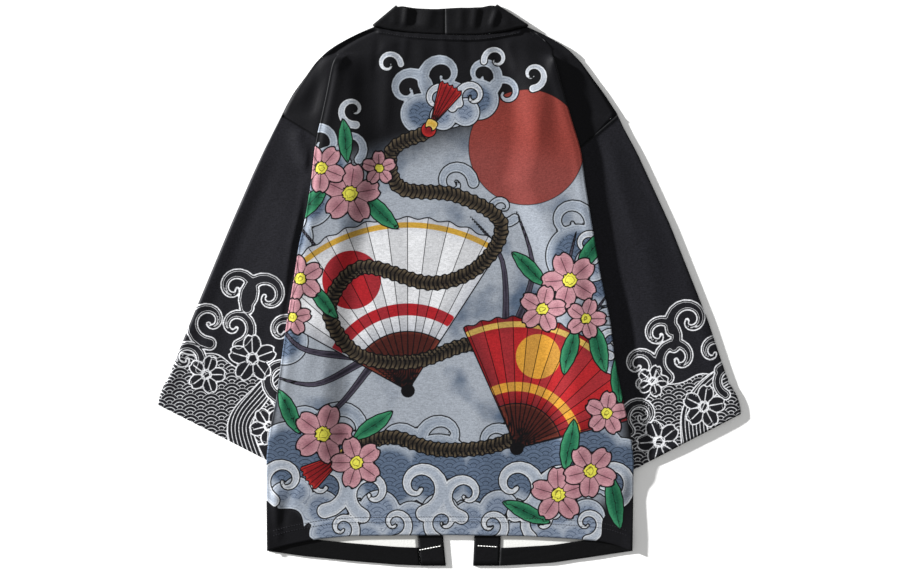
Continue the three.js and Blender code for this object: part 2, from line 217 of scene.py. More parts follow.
def ease(f):
    g = np.clip(f, 0, 1)
    return g * g * (3 - 2 * g)


def falls(d, w, reach, step):
    """1 on the pile, 0 on the table: a step beside the side fold, then a long gentle run-out."""
    d = np.maximum(d, 0)
    tail = np.exp(-d / (3.2 * w)) * (1 - np.clip(d / max(reach, 1), 0, 1) ** 2)
    return step * (1 - ease(d / w)) + (1 - step) * tail


def blend(a, b, f):
    return a + (b - a) * f


# %% [markdown]
# ## The two sides
# Left and right have the same cut, but they were laid down a little differently: the left side
# lies softer and rolls at its fold, the right side falls off more steeply and throws the wider
# shadow. What differs is named here.


# %% The two sides
class Side:
    """One side of the robe; its functions take a height on the table and give half widths."""

    def __init__(self, name, sign, column, tip, meet, under, cuff_outer, cuff_inner, outer, inner):
        self.name, self.sign, self.column = name, sign, column
        self.tip, self.meet, self.under = tip, meet, under
        self.cuff_outer, self.cuff_inner = cuff_outer, cuff_inner
        self.band_outer, self.band_inner = outer, inner
        self.shoulder = curve(SHOULDER, column, 3)
        self.fold = curve(SIDE_FOLD, column, 6)
        self.sleeve_outer = curve(SLEEVE_OUTER, column, 5)
        self.front_fall = curve(FRONT_FALL, column, 6)
        # share of the fall that is a step, air in the sleeve, lift along its top fold
        self.step, self.puff, self.roll = (0.22, 0.6, 1.5) if sign < 0 else (0.9, 1.3, 0.3)
        # plump roll along the side fold: its width, and how far its edge is rounded down
        self.plump_width, self.rounded = (13, 2.1) if sign < 0 else (9, 0.9)
        # armhole seam: how far the sleeve dips beside it, and the ridge that it raises
        self.dip_reach, self.ridge = (4.5, 0.0) if sign < 0 else (1.3, 0.8)
        # where the sleeve's folds begin beside the body, and over what way they grow
        self.folds_from, self.folds_grow = (2, 8) if sign < 0 else (DROP, 10)
        # thread across the band's end: how far it passes the edge, and its slope
        self.thread_past, self.thread_slope = (2, 0.19) if sign < 0 else (1, 0.06)
        self.junction = next(y for y in np.arange(tip[1], 0, -0.5)
                             if self.armhole(y) <= self.fold(y) - 1.6 - pleat(y))

    def step_at(self, y):
        """The left side lies steeper at the shoulder than further down."""
        return self.step + 0.5 * (self.sign < 0) * ease((y - 200) / 30)

    def armhole(self, y):
        slope = (self.tip[0] - self.meet[0]) / (self.tip[1] - self.meet[1])
        return self.tip[0] - slope * (self.tip[1] - y)

    def middle_edge(self, y):
        start = self.fold(self.junction) - 1.6 - pleat(self.junction)
        if y >= self.under[1]:
            f = np.clip((y - self.under[1]) / (self.junction - self.under[1]), 0, 1)
            return blend(self.under[0], start, f)
        f = np.clip((self.under[1] - y) / (self.under[1] - SEAM_END_Y), 0, 1)
        return blend(self.under[0], self.fold(SEAM_END_Y), f)

    def stack_edge(self, y):
        if y > APEX_Y:
            return self.fold(y) - 6
        if y > self.junction:
            return self.fold(y) - 1.6 - pleat(y) - 7
        if y > self.under[1]:
            return self.middle_edge(y) - 6
        return blend(self.under[0] - 6, 168, np.clip((self.under[1] - y) / 260, 0, 1))

    def band_edge(self, pair, y):
        return blend(pair[1], pair[0], (y - BAND_BOTTOM) / (NECK_Y - BAND_BOTTOM))


open_pleat = curve(OPEN_PLEAT, 1, 2)
level = [None] + [curve(LEVELS, c, 3) for c in range(1, 7)]
middle_height, neck_dip, hem_rise = curve(MIDDLE), curve(NECK_DIP, 1, 8), curve(HEM_RISE, 1, 7)


def pleat(y):
    """Depth of the side pleat, below 0 where it still lies open."""
    return PLEAT_GROWTH * (APEX_Y - y) if y < APEX_Y else -open_pleat(y)


LEFT = Side("left", -1, 1, (209.6, 213.1), (165.6, 186.2), (159.4, 15), (364.4, -150),
            (174.4, -246.2), (94.4, 36.1), (66.9, 4.6))
RIGHT = Side("right", 1, 2, (210.4, 213.1), (164.4, 173.8), (156, 15), (364.4, -161.2),
             (176.5, -258.8), (96.9, 61.9), (59.4, 29.4))
print("armhole meets the pleat at", LEFT.junction, RIGHT.junction)

# %% [markdown]
# ## From a grid of points to cloth
# A sheet is a grid of points through the middle of the cloth. Points that fall together become
# one, so a row may lose its hidden part at a seam. Both faces are the points moved out along the
# normal, joined round the edge.


# %% Walls, attributes and maps
def placed(name, data):
    """A new object, put in the scene."""
    obj = bpy.data.objects.new(name, data)
    bpy.context.collection.objects.link(obj)
    return obj


def outer_of(obj):
    """The attribute that tells a wall's face from its wrong side, and its values."""
    face = obj.data.attributes["outer"].data
    values = np.empty(len(face), np.float32)
    face.foreach_get("value", values)
    return face, values


def wall(name, grid, thick, fields=None, closed=False, material=None):
    rows, cols = grid.shape[:2]
    points = grid.reshape(-1, 3)
    _, first, index = np.unique(np.round(points, 3), axis=0, return_index=True, return_inverse=True)
    index = index.reshape(rows, cols)
    p = points[first]
    nxt = np.roll(index, -1, axis=1) if closed else index[:, 1:]
    here = index if closed else index[:, :-1]
    a, b, c, d = here[:-1], here[1:], nxt[:-1], nxt[1:]
    tris = np.concatenate([np.stack([a, b, c], -1).reshape(-1, 3),
                           np.stack([c, b, d], -1).reshape(-1, 3)])
    keep = (tris[:, 0] != tris[:, 1]) & (tris[:, 1] != tris[:, 2]) & (tris[:, 0] != tris[:, 2])
    tris = tris[keep]
    n = np.zeros_like(p)
    across = np.cross(p[tris[:, 1]] - p[tris[:, 0]], p[tris[:, 2]] - p[tris[:, 0]])
    for k in range(3):
        e1 = p[tris[:, (k + 1) % 3]] - p[tris[:, k]]
        e2 = p[tris[:, (k + 2) % 3]] - p[tris[:, k]]
        lengths = np.linalg.norm(e1, axis=1) * np.linalg.norm(e2, axis=1)
        angle = np.arccos(np.clip((e1 * e2).sum(1) / lengths, -1, 1))
        unit = across / np.linalg.norm(across, axis=1, keepdims=True)
        np.add.at(n, tris[:, k], unit * angle[:, None])
    n /= np.maximum(np.linalg.norm(n, axis=1, keepdims=True), 1e-9)
    count = len(p)
    verts = np.concatenate([p + n * thick / 2, p - n * thick / 2])
    edges = np.concatenate([tris[:, [0, 1]], tris[:, [1, 2]], tris[:, [2, 0]]])
    key, back = edges[:, 0] * count + edges[:, 1], edges[:, 1] * count + edges[:, 0]
    rim = edges[~np.isin(key, back)]
    u, v = rim[:, 0], rim[:, 1]
    faces = np.concatenate([tris, tris[:, ::-1] + count, np.stack([u, u + count, v], 1),
                            np.stack([v, u + count, v + count], 1)])
    mesh = bpy.data.meshes.new(name)
    mesh.from_pydata((verts * MM).tolist(), [], faces.tolist())
    mesh.shade_smooth()
    obj = placed(name, mesh)
    if material:
        mesh.materials.append(material)
    data = {"outer": np.concatenate([np.ones(count), np.zeros(count)])}
    for key, values in (fields or {}).items():
        one = np.asarray(values, float).reshape(-1)[first]
        data[key] = np.concatenate([one, one])
    for key, values in data.items():
        layer = mesh.attributes.new(key, "FLOAT", "POINT")
        layer.data.foreach_set("value", values.astype(np.float32))
    print(name, len(faces), "triangles")
    return obj


# %% [markdown]
# ## The cut of each piece
# A maker cuts flat cloth, so each piece's size is measured along its cloth and not on the table.
# Width is a row with its folds opened out. A panel's length is taken down a thread, which stays
# as far from the middle of the robe all the way to the hem.


# %% Lengths and areas of the cut
def row_lengths(grid):
    step = np.linalg.norm(np.diff(grid, axis=1), axis=2)
    return np.concatenate([np.zeros((len(grid), 1)), np.cumsum(step, axis=1)], axis=1)


def longest_thread(grid, anchor):
    """Each thread runs down the cloth at a fixed distance from the anchor column."""
    along = row_lengths(grid)
    away = along - along[:, [anchor]]
    longest = 0.0
    for reach in np.linspace(away.min(), away.max(), 60):
        inside = (away[:, 0] <= reach) & (reach <= away[:, -1])
        thread = np.array([[np.interp(reach, at, row[:, k]) for k in range(3)]
                           for at, row in zip(away, grid)])
        step = np.linalg.norm(np.diff(thread, axis=0), axis=1)
        longest = max(longest, step[inside[1:] & inside[:-1]].sum())
    return longest


def cut_of(grid, anchor=None):
    """Width, length and area of a grid laid out flat, in metres. The columns of a panel that
    folds over wander sideways, so with an anchor the length is that of the longest thread."""
    a, b, c, d = grid[:-1, :-1], grid[1:, :-1], grid[:-1, 1:], grid[1:, 1:]
    area = sum(np.linalg.norm(np.cross(b - corner, c - corner), axis=2).sum() for corner in (a, d)) / 2
    if anchor is None:
        length = np.linalg.norm(np.diff(grid, axis=0), axis=2).sum(0).max()
    else:
        length = longest_thread(grid, anchor)
    return row_lengths(grid).max() * MM, float(length) * MM, float(area) * MM * MM

# %% [markdown]
# ## How each half of a panel lies
# The arms are swung down from the shape of a T, so each side of the back folds over on itself: the
# top layer turns under along the side fold, runs inwards as a hidden middle layer, turns again and
# comes out as the dropped shoulder. The fronts do the same upside down. A row is that whole path
# at one height, from the outer edge to the middle. The turns are plump, as cloth never creases
# sharp unless it is pressed.


# %% Soft folds
def soft_folds(rows, x, y):
    """Height of soft ridges, or troughs below 0, each along a line: x0, y0, x1, y1, width, height."""
    z = np.zeros_like(x, float)
    for x0, y0, x1, y1, width, height in rows:
        dx, dy = x1 - x0, y1 - y0
        t = ((x - x0) * dx + (y - y0) * dy) / (dx * dx + dy * dy)
        d = ((x - x0) * dy - (y - y0) * dx) / math.hypot(dx, dy)
        z += height * np.exp(-(d / width) ** 2) * ease(t / 0.3 + 0.15) * ease((1 - t) / 0.3 + 0.15)
    return z


# %% [markdown]
# ## One half row
# The path has five stretches: the dropped shoulder, the valley where it turns under, the hidden
# middle layer, the turn at the side fold and the top layer. Below the side pleat the first four
# shrink to a point, because there the cloth no longer folds over. Beside the path goes the place
# of each point on the flat cloth, so that the print folds with it.


# %% Half rows
def half_row(s, y, back, top_count):
    M = float(s.fold(y))
    if back:
        z1, z3, edge, rim, plump = (float(level[k](y)) for k in (1, 2, 4, 5, 6))
    else:
        z1, z3, edge, rim, plump = FLOOR, float(level[3](y)), FLOOR, FLOOR, 0.0
    zt, z2 = z1 + plump, (z1 + z3) / 2
    side_sign = 1 if zt >= z3 else -1
    r1, r2 = abs(zt - z2) / 2, abs(z2 - z3) / 2
    over = float(pleat(y))
    opened, depth = max(0.0, -over), max(0.0, over)
    theta = 2 * math.atan2(r1 + r2, opened) if opened > 0 else math.pi
    x0 = M - THICK / 2 - r1
    xv = x0 + opened - depth
    seam_edge = y <= SEAM_END_Y
    f = np.linspace(0, theta, TURN_POINTS)
    side = np.stack([x0 + r1 * np.sin(f), zt - side_sign * r1 * (1 - np.cos(f))], 1)[::-1]
    if seam_edge:
        outer, valley, middle, side = (np.tile([M, rim], (k, 1)) for k in
                                       (OUTER_POINTS, VALLEY_POINTS, MIDDLE_POINTS, TURN_POINTS))
    elif y <= s.junction + 0.3:
        e = np.array([min(s.middle_edge(y), x0), z2])
        outer, valley = np.tile(e, (OUTER_POINTS, 1)), np.tile(e, (VALLEY_POINTS, 1))
        middle = e + (side[0] - e) * np.linspace(0, 1, 6)[1:-1, None]
    else:
        E = float(s.shoulder(y)) if y >= s.tip[1] else s.armhole(y)
        w = min(DROP, max(0.5, E - M - 1))
        if back and y < s.tip[1]:
            edge = blend(edge, FLOOR + 2 * SLEEVE_TURN, np.clip((s.tip[1] - y) / 6, 0, 1))
        x = np.concatenate([np.linspace(max(E, M + 1 + w), M + 1 + w, 6)[:-1],
                            M + 1 + w * np.array([1, 0.75, 0.5, 0.25]), np.linspace(M + 1, xv, 3)])
        x = np.clip(x, xv, max(E, xv))
        reach = E - M - 1 if y >= s.tip[1] else s.tip[0] - float(s.fold(s.tip[1])) - 1
        step = float(s.step_at(y))
        down = falls(x - M - 1, w if y >= s.tip[1] else DROP, reach, step) if back \
            else 1 - ease((x - M - 1) / w)
        outer = np.stack([x, edge + (z3 - edge) * down], 1)
        g = np.linspace(0, theta, 6)[1:]
        valley = np.stack([xv - r2 * np.sin(g), z3 + side_sign * r2 * (1 - np.cos(g))], 1)
        middle = valley[-1] + (side[0] - valley[-1]) * np.linspace(0, 1, 6)[1:-1, None]
    c0 = side[-1, 0]
    if back:
        x = c0 * (1 - (np.arange(1, top_count) / top_count) ** 1.12)
        zc, c2 = float(middle_height(y)), min(float(s.stack_edge(y)), c0 - 19)
        z = blend(zc, z1, ease((x - (c2 - 40)) / 40)) + plump * np.exp(-((c0 - x) / s.plump_width) ** 2)
        z = blend(z, rim, ease((x - (c0 - 16)) / 16)) if seam_edge else z
    else:
        inner = s.band_edge(s.band_outer, y + float(ease((HEM_BEGINS - y) / (HEM_BEGINS - HEM_Y)))
                            * float(s.front_fall(45))) + 0.3
        x = np.linspace(c0, inner, top_count + 1)[1:]
        z = np.full_like(x, FLOOR)
    path = np.concatenate([outer, valley, middle, side, np.stack([x, z], 1)])
    step = np.hypot(*np.diff(path, axis=0).T)
    along = np.concatenate([[0], np.cumsum(step)])
    turned = HIDDEN_POINTS - 1
    cut_x = np.where(np.arange(len(path)) < turned, c0 + (along[turned] - along), path[:, 0])
    return path, cut_x


# %% [markdown]
# ## Creases of the back
# Creases run down from the neck seam and out from the side folds, where the weight of the sleeves
# pulls. They are placed one by one, uneven in length and depth, as they lie on the garment.

# %% Creases of the back
# soft folds of the back's top layer, and of the dropped shoulders
BACK_FOLDS = [
    (-71, 318, -84, 176, 9, 1.3), (-104, 304, -112, 190, 12, -1.1), (-36, 318, -30, 236, 9, 0.9),
    (-9, 319, -2, 274, 6, 0.8), (22, 319, 26, 282, 7, -0.7), (60, 318, 80, 200, 14, -1.0),
    (92, 308, 112, 160, 13, 1.6), (46, 318, 52, 256, 7, 0.8), (126, 262, 138, 150, 9, -0.5),
    (-88, 312, -94, 262, 5, -0.8), (-54, 318, -58, 280, 5, 0.7), (72, 314, 84, 262, 6, 0.7),
    (-126, 230, -140, 96, 12, 0.6), (-70, 60, -100, -150, 30, 0.8), (84, 30, 110, -170, 28, -0.8),
    (-20, 120, 12, -60, 34, 0.6), (-190, -236, -214, -318, 7, -0.9), (-219, -250, -213, -332, 5, 1.2),
    (198, -226, 216, -326, 8, 0.9), (-60, -236, 60, -262, 26, 0.5), (150, 60, 174, -96, 10, 0.7),
    (-158, 20, -184, -130, 10, 0.6), (30, -120, 46, -300, 20, 0.6), (-110, -150, -122, -300, 18, -0.5),
]
# x, y, radii, height: the round end of the left fold, and where the cloth gives near the fold ends
BACK_BUMPS = [(-143, 274, 6, 7, 1.4), (-126, 266, 11, 20, -1.0), (131, 272, 8, 16, 1.0),
              (120, 232, 12, 26, 0.8), (-150, 120, 10, 40, 0.6), (156, -20, 12, 50, 0.6)]
SHOULDER_FOLDS = [
    (-146, 290, -196, 220, 8, 1.2), (-150, 262, -176, 206, 7, -0.6), (116, 308, 176, 226, 6, 0.8),
    (152, 268, 172, 196, 7, 0.7), (168, 236, 186, 190, 6, -0.5),
]
TOP_COUNT = 74
BACK_ROWS = np.concatenate([
    np.linspace(NECK_Y, 309.5, 11)[:-1], np.linspace(309.5, 214, 34)[:-1],
    np.linspace(214, -300, 172)[:-1], np.linspace(-300, HEM_Y, 15)])
print("creases of the back", len(BACK_FOLDS), "rows", len(BACK_ROWS))

# %% [markdown]
# ## The back as one sheet
# Two half rows meet at the middle line. The upper edge is pressed thin where the shoulder seam
# runs, the neck edge rises in a narrow strip under the collar, and the hem is a little thicker
# where it is turned inside.


# %% Grid of the back
def back_grid():
    grid, cut, valley_end = [], [], OUTER_POINTS + VALLEY_POINTS
    for y in BACK_ROWS:
        left, cl = half_row(LEFT, y, True, TOP_COUNT)
        right, cr = half_row(RIGHT, y, True, TOP_COUNT)
        x = np.concatenate([-left[:, 0], [0], right[::-1, 0]])
        z = np.concatenate([left[:, 1], [float(middle_height(y))], right[::-1, 1]])
        u = np.concatenate([-cl, [0], cr[::-1]])
        n, total = HIDDEN_POINTS, len(x)
        k = np.arange(total)
        top = (k >= n) & (k < total - n)
        inward = np.minimum(x - x[n - 1], x[total - n] - x)
        waves = np.where(top, soft_folds(BACK_FOLDS, x, np.full_like(x, y)) * ease(inward / 9), 0)
        if y > 214:
            out = (k < 8) | (k >= total - 8)
            gap = np.abs(x) - np.where(x < 0, LEFT.fold(y), RIGHT.fold(y))
            rim = np.where(x < 0, LEFT.shoulder(y), RIGHT.shoulder(y)) - np.abs(x)
            z = z + np.where(out, soft_folds(SHOULDER_FOLDS, x, np.full_like(x, y))
                             * ease((gap - 3) / 8) * ease(rim / 8), 0)
            roll = 0.9 * np.exp(-(rim / 4) ** 2) - 1.3 * np.exp(-((rim - 11) / 6) ** 2)
            flat = 3.0 + (np.minimum(z, 5.8) - 3.0) * ease(rim / 70) + roll * np.where(x < 0, 1, 0.7)
            inside = np.clip(rim - 30, 0, 60)
            pressed = ease((y - 282 + inside) / (8 + 1.3 * inside)) * ease((321 - y) / 5) \
                * ease((96 - rim) / 30)
            z = blend(z, flat, pressed)
            buried = (k < TURN_START) | (k >= total - TURN_START)
            z = z - np.where(buried, 0.8 * pressed * ease((-gap - 1) / 5), 0)
        if y < APEX_Y:
            rounding = np.exp(-(inward / 4.6) ** 2)
            rounding[TURN_START:n] = np.linspace(0, 1, TURN_POINTS)
            rounding[-n:-TURN_START] = np.linspace(1, 0, TURN_POINTS)
            rounding[:TURN_START] = rounding[-TURN_START:] = 0
            rounded = np.where(x < 0, LEFT.rounded, RIGHT.rounded)
            z = z - rounded * rounding * ease((APEX_Y - y) / 10) * ease((y + 205) / 40)
        for bx, by, rx, ry, height in BACK_BUMPS:
            bump = height * np.exp(-((x - bx) / rx) ** 2 - ((y - by) / ry) ** 2)
            z = z + np.where((k >= valley_end) & (k < total - valley_end), bump, 0)
        z = z + waves
        strip = (1.5 - 0.15 * (y - 316) + 0.14 * np.sin(x / 1.9) * np.sin(x / 23 + 1)) \
            * ease((y - 315.2) / 1.2) * ease((92 - np.abs(x)) / 4)
        hem = 0.4 * ease((-308.5 - y) / 1.6)
        z = z + np.where(top, strip + hem, 0)
        w_top = ease((y - 235) / (NECK_Y - 235))
        w_hem = ease((HEM_BEGINS - y) / (HEM_BEGINS - HEM_Y))
        yy = y + w_top * neck_dip(x) + w_hem * hem_rise(x)
        grid.append(np.stack([x, yy, z], 1))
        cut.append(np.stack([u, yy], 1))
    return np.array(grid), np.array(cut)


BACK, BACK_CUT = back_grid()
print("back cut", [round(v, 3) for v in cut_of(BACK, BACK.shape[1] // 2)], "grid", BACK.shape)

# %% [markdown]
# ## The print
# The back and the sleeve ends are printed before sewing. The colours and their size follow the
# garment; the motifs are ordinary ones of Japanese textiles in a layout of their own: folding
# fans, a twisted cord, cherry blossoms, leaves, clouds and curling waves over a red disc. Each
# layer is a distance field in mm on the cloth, so its edge stays sharp and an ink line can follow
# it at any size.


# %% Shapes as distance fields
def circle(x, y, cx, cy, r):
    return np.hypot(x - cx, y - cy) - r


def union(fields):
    return np.minimum.reduce(list(fields))


def nearest(lines):
    """The one of several signed line fields whose line is nearest."""
    lines = np.array(list(lines))
    return np.take_along_axis(lines, np.argmin(np.abs(lines), axis=0)[None], 0)[0]


def local(x, y, cx, cy, degrees):
    a = math.radians(degrees)
    dx, dy = x - cx, y - cy
    return dx * math.cos(a) + dy * math.sin(a), -dx * math.sin(a) + dy * math.cos(a)


def along_line(x, y, points, widths=None):
    """Distance to a bent line, less its half width, and the way along it."""
    best, way, run = np.full_like(x, 1e6), np.zeros_like(x), 0.0
    widths = widths if widths is not None else [0.0] * len(points)
    for (x0, y0), (x1, y1), w0, w1 in zip(points[:-1], points[1:], widths[:-1], widths[1:]):
        dx, dy = x1 - x0, y1 - y0
        length = max(math.hypot(dx, dy), 1e-6)
        t = np.clip(((x - x0) * dx + (y - y0) * dy) / length ** 2, 0, 1)
        d = np.hypot(x - x0 - t * dx, y - y0 - t * dy) - (w0 + t * (w1 - w0))
        way = np.where(d < best, run + t * length, way)
        best = np.minimum(best, d)
        run += length
    return best, way


def bend(points, steps=7):
    """A smooth line through a few points."""
    p = np.array([points[0], *points, points[-1]], float)
    out = []
    for i in range(1, len(p) - 2):
        for t in np.linspace(0, 1, steps, endpoint=False):
            out.append(0.5 * (2 * p[i] + (p[i + 1] - p[i - 1]) * t
                       + (2 * p[i - 1] - 5 * p[i] + 4 * p[i + 1] - p[i + 2]) * t * t
                       + (3 * p[i] - p[i - 1] - 3 * p[i + 1] + p[i + 2]) * t ** 3))
    return [tuple(q) for q in out] + [tuple(p[-1])]


# %% [markdown]
# ## Motifs
# Each motif is drawn once about its own middle and then placed, turned and sized: the finger of a
# wave, a notched blossom, a leaf with its veins, and an open folding fan. A tassel is a narrow fan.


# %% Motifs
def curl(x, y, cx, cy, size, degrees, hand=1):
    """A finger of a breaking wave: thick at its root, thin where it rolls in, a bead at its tip."""
    a, b = local(x, y, cx, cy, degrees)
    t = np.linspace(0, 1, 20)
    turn = np.radians(-150 + 385 * t)
    reach = size * (1.5 * (1 - t) ** 0.9 + 0.2)
    points = list(zip(reach * np.cos(turn), hand * reach * np.sin(turn)))
    widths = size * (0.44 * (1 - t) ** 0.8 + 0.075)
    widths[-2:] = size * np.array([0.12, 0.16])
    return along_line(a, b, points, widths)[0]


def blossom(x, y, cx, cy, r, degrees):
    """Outline, inner lines and heart of a five-petalled blossom with notched tips."""
    a, b = local(x, y, cx, cy, degrees)
    rho, phi = np.hypot(a, b), np.arctan2(b, a)
    petals, notches = [], []
    for k in range(5):
        t = math.radians(72 * k)
        c, s = math.cos(t), math.sin(t)
        tip = np.hypot((a * c + b * s - 0.60 * r) / 1.18, (b * c - a * s)) - 0.36 * r
        petals.append(tip)
        notches.append(np.hypot((a * c + b * s - 1.10 * r), (b * c - a * s) * 1.3) - 0.17 * r)
    outline = np.maximum(union(petals), -union(notches))
    lines = rho * np.sin(5 * phi) / 5
    lines = np.where(outline < 0, lines, 20)
    lines = np.where(rho < 0.9 * r, lines, np.sign(lines) * 9)
    heart = rho - r * (0.25 + 0.035 * np.cos(11 * phi))
    return outline, lines, heart


def leaf(x, y, cx, cy, length, width, degrees):
    a, b = local(x, y, cx, cy, degrees)
    b = b + 0.06 * length * np.sin(a / length * 1.9)
    big = (length ** 2 + width ** 2) / (2 * width)
    off = big - width
    outline = np.maximum(np.hypot(a, b - off) - big, np.hypot(a, b + off) - big)
    outline = outline + 0.5 * np.abs(np.sin(a / 4.2)) - 0.25
    side = 4.0 * np.sin((a - np.abs(b) * 0.9) / 4.0)
    veins = np.where(np.abs(b) < 1.2, b, np.where(b > 0, np.abs(side), -np.abs(side)))
    return outline, np.where(outline < 3, veins, 20)


def fan(x, y, cx, cy, r0, r1, degrees, half, ribs=26):
    """Paper, pleats and sticks of an open folding fan."""
    a, b = local(x, y, cx, cy, degrees)
    rho, phi = np.hypot(a, b), np.arctan2(b, a)
    beside = (np.abs(phi) - math.radians(half)) * rho
    pleats = rho * np.sin(ribs * phi) / ribs
    paper = np.maximum.reduce([rho - r1 - 1.6 * np.cos(2 * ribs * phi), r0 - rho, beside])
    sticks = np.maximum.reduce([rho - r0 - 2, 7 - rho, beside * 0.9])
    return paper, pleats, np.minimum(sticks, rho - 8), rho, phi


# %% [markdown]
# ## Where the motifs stand
# Waves fill the foot of the back and rise again below the neck, the disc stands at the upper
# right, blossoms stand at both sides, and the fans and the cord hold the middle. Places are in mm
# on the cloth with its side folds opened out, across from the middle line and up the robe.

# %% Layout of the print on the back
DISC = (96, 172, 72)
# x, y, r
SEA_FAR = [
    (-200, -214, 44), (-140, -226, 48), (-76, -240, 44), (-14, -232, 46), (50, -240, 44),
    (112, -224, 50), (176, -216, 46), (214, -230, 40), (-200, 60, 30), (-176, 104, 32),
    (-148, 148, 26), (-36, 214, 26), (0, 226, 30), (36, 232, 26), (160, 36, 40), (188, 8, 34),
    (-206, -70, 30), (196, -84, 34), (176, -118, 26),
]
SEA_NEAR = [
    (-196, -286, 22), (-190, -258, 19), (-208, -262, 16), (-160, -280, 24), (-122, -290, 22),
    (-88, -282, 26), (-48, -292, 22), (-12, -284, 24),
    (26, -292, 23), (62, -282, 26), (100, -290, 22), (136, -282, 25), (172, -290, 23), (-150, -312, 26),
    (-104, -320, 26), (-64, -318, 24), (-28, -322, 26), (12, -318, 25), (48, -320, 26), (88, -316, 24),
    (124, -320, 26), (158, -318, 24), (190, -312, 24), (-196, 84, 18), (-172, 128, 18),
    (-8, 210, 17), (20, 216, 18), (178, 26, 22), (206, -92, 20),
]
# x, y, size, turned by, hand
CURLS_FAR = [
    (-186, -176, 18, 60, 1), (-132, -184, 21, 30, -1), (-66, -200, 19, 70, 1), (-8, -192, 20, 110, -1),
    (56, -198, 18, 60, 1), (112, -176, 23, 100, -1), (170, -172, 20, 70, 1), (-196, 96, 15, 80, 1),
    (-160, 176, 15, 40, -1), (-126, 172, 12, 100, 1), (-52, 244, 16, 130, 1), (-8, 262, 17, 95, -1),
    (40, 262, 15, 60, 1), (70, 240, 12, 30, -1), (150, 78, 17, 110, 1), (186, 52, 15, 70, -1),
    (196, -52, 15, 110, 1), (-208, -40, 13, 80, -1), (6, 128, 14, 150, 1), (66, 96, 12, 170, -1),
]
CURLS_NEAR = [
    (-206, -244, 17, 90, -1), (-156, -250, 19, 60, 1), (-98, -260, 18, 100, -1), (-38, -252, 20, 70, 1),
    (20, -262, 17, 110, -1), (82, -250, 21, 60, 1), (144, -254, 19, 95, -1), (200, -246, 17, 80, 1),
    (-186, 110, 10, 60, -1), (-14, 232, 12, 120, 1), (28, 236, 11, 60, -1), (172, 50, 12, 80, 1),
    (204, -70, 11, 110, -1), (-120, 218, 11, 130, -1), (104, 262, 10, 60, 1), (-76, 276, 9, 150, 1),
    (58, 282, 9, 40, -1), (-134, -304, 12, 70, 1), (-68, -298, 12, 60, 1), (-8, -296, 13, 100, -1),
    (52, -300, 12, 70, 1), (114, -296, 13, 90, -1), (172, -298, 12, 60, 1),
]
# x, y, inner, outer, turned by, half angle
FANS = [(-52, -132, 74, 216, 104, 47), (84, -204, 56, 164, 64, 50)]
CORD = bend([(-30, 190), (-72, 168), (-62, 122), (8, 112), (64, 78), (40, 26), (-22, 2), (-110, 22),
             (-150, -30), (-116, -86), (-46, -96), (30, -74), (96, -96), (118, -150), (70, -196),
             (-10, -206), (-74, -190), (-120, -206)])
# x, y, start, end, turned by, half angle
TASSELS = [(-26, 194, 6, 62, 62, 15), (-124, -206, 6, 66, 214, 15)]
# root, middle, tip, half width at the root
BLADES = [
    ((-118, -86), (-176, -36), (-214, 30), 5.5), ((-112, -90), (-186, -78), (-222, -30), 5),
    ((-110, -96), (-168, -124), (-226, -112), 5), ((-104, -80), (-140, 10), (-206, 96), 4.5),
    ((74, -70), (104, 16), (84, 92), 5), ((80, -74), (134, -12), (158, 66), 5.5),
    ((84, -80), (150, -66), (200, -8), 5), ((70, -66), (66, 30), (26, 86), 4.5),
    ((90, -92), (160, -120), (214, -104), 4.5), ((-100, -104), (-150, -160), (-212, -166), 4.5),
]
# x, y, r, turned by
BLOSSOMS_FAR = [(-124, 114, 38, 10), (150, 6, 36, 40), (-158, -186, 38, 0), (136, -262, 35, 20),
                (-186, 8, 30, 30), (196, -160, 28, 10)]
BLOSSOMS_NEAR = [(-160, 146, 31, 50), (116, -30, 30, 5), (-116, -222, 33, 36), (176, -232, 34, 50),
                 (-88, 146, 22, 20), (170, -42, 26, 0), (-196, -40, 24, 10)]
# x, y, half length, half width, turned by
LEAVES = [
    (-176, 100, 36, 11, 50), (-88, 92, 34, 11, -38), (-130, 180, 28, 9, 100), (178, 44, 34, 11, 60),
    (100, 20, 32, 10, 140), (186, -78, 34, 11, -70), (150, -82, 32, 10, -100), (-200, -158, 32, 10, 120),
    (-96, -176, 32, 10, 40), (96, -284, 34, 10, 160), (206, -270, 38, 11, -74),
    (150, -200, 34, 11, 84), (-206, 40, 28, 9, 80), (-158, -20, 30, 9, -46), (210, -120, 30, 9, 100),
]
print("blossoms", len(BLOSSOMS_FAR + BLOSSOMS_NEAR), "leaves", len(LEAVES), "fans", len(FANS))

# %% [markdown]
# ## Layers of the print
# Motifs of one ink are joined into one layer. The two lower corners stay bare black, and the pale
# ground fades out towards the shoulders and the side seams.


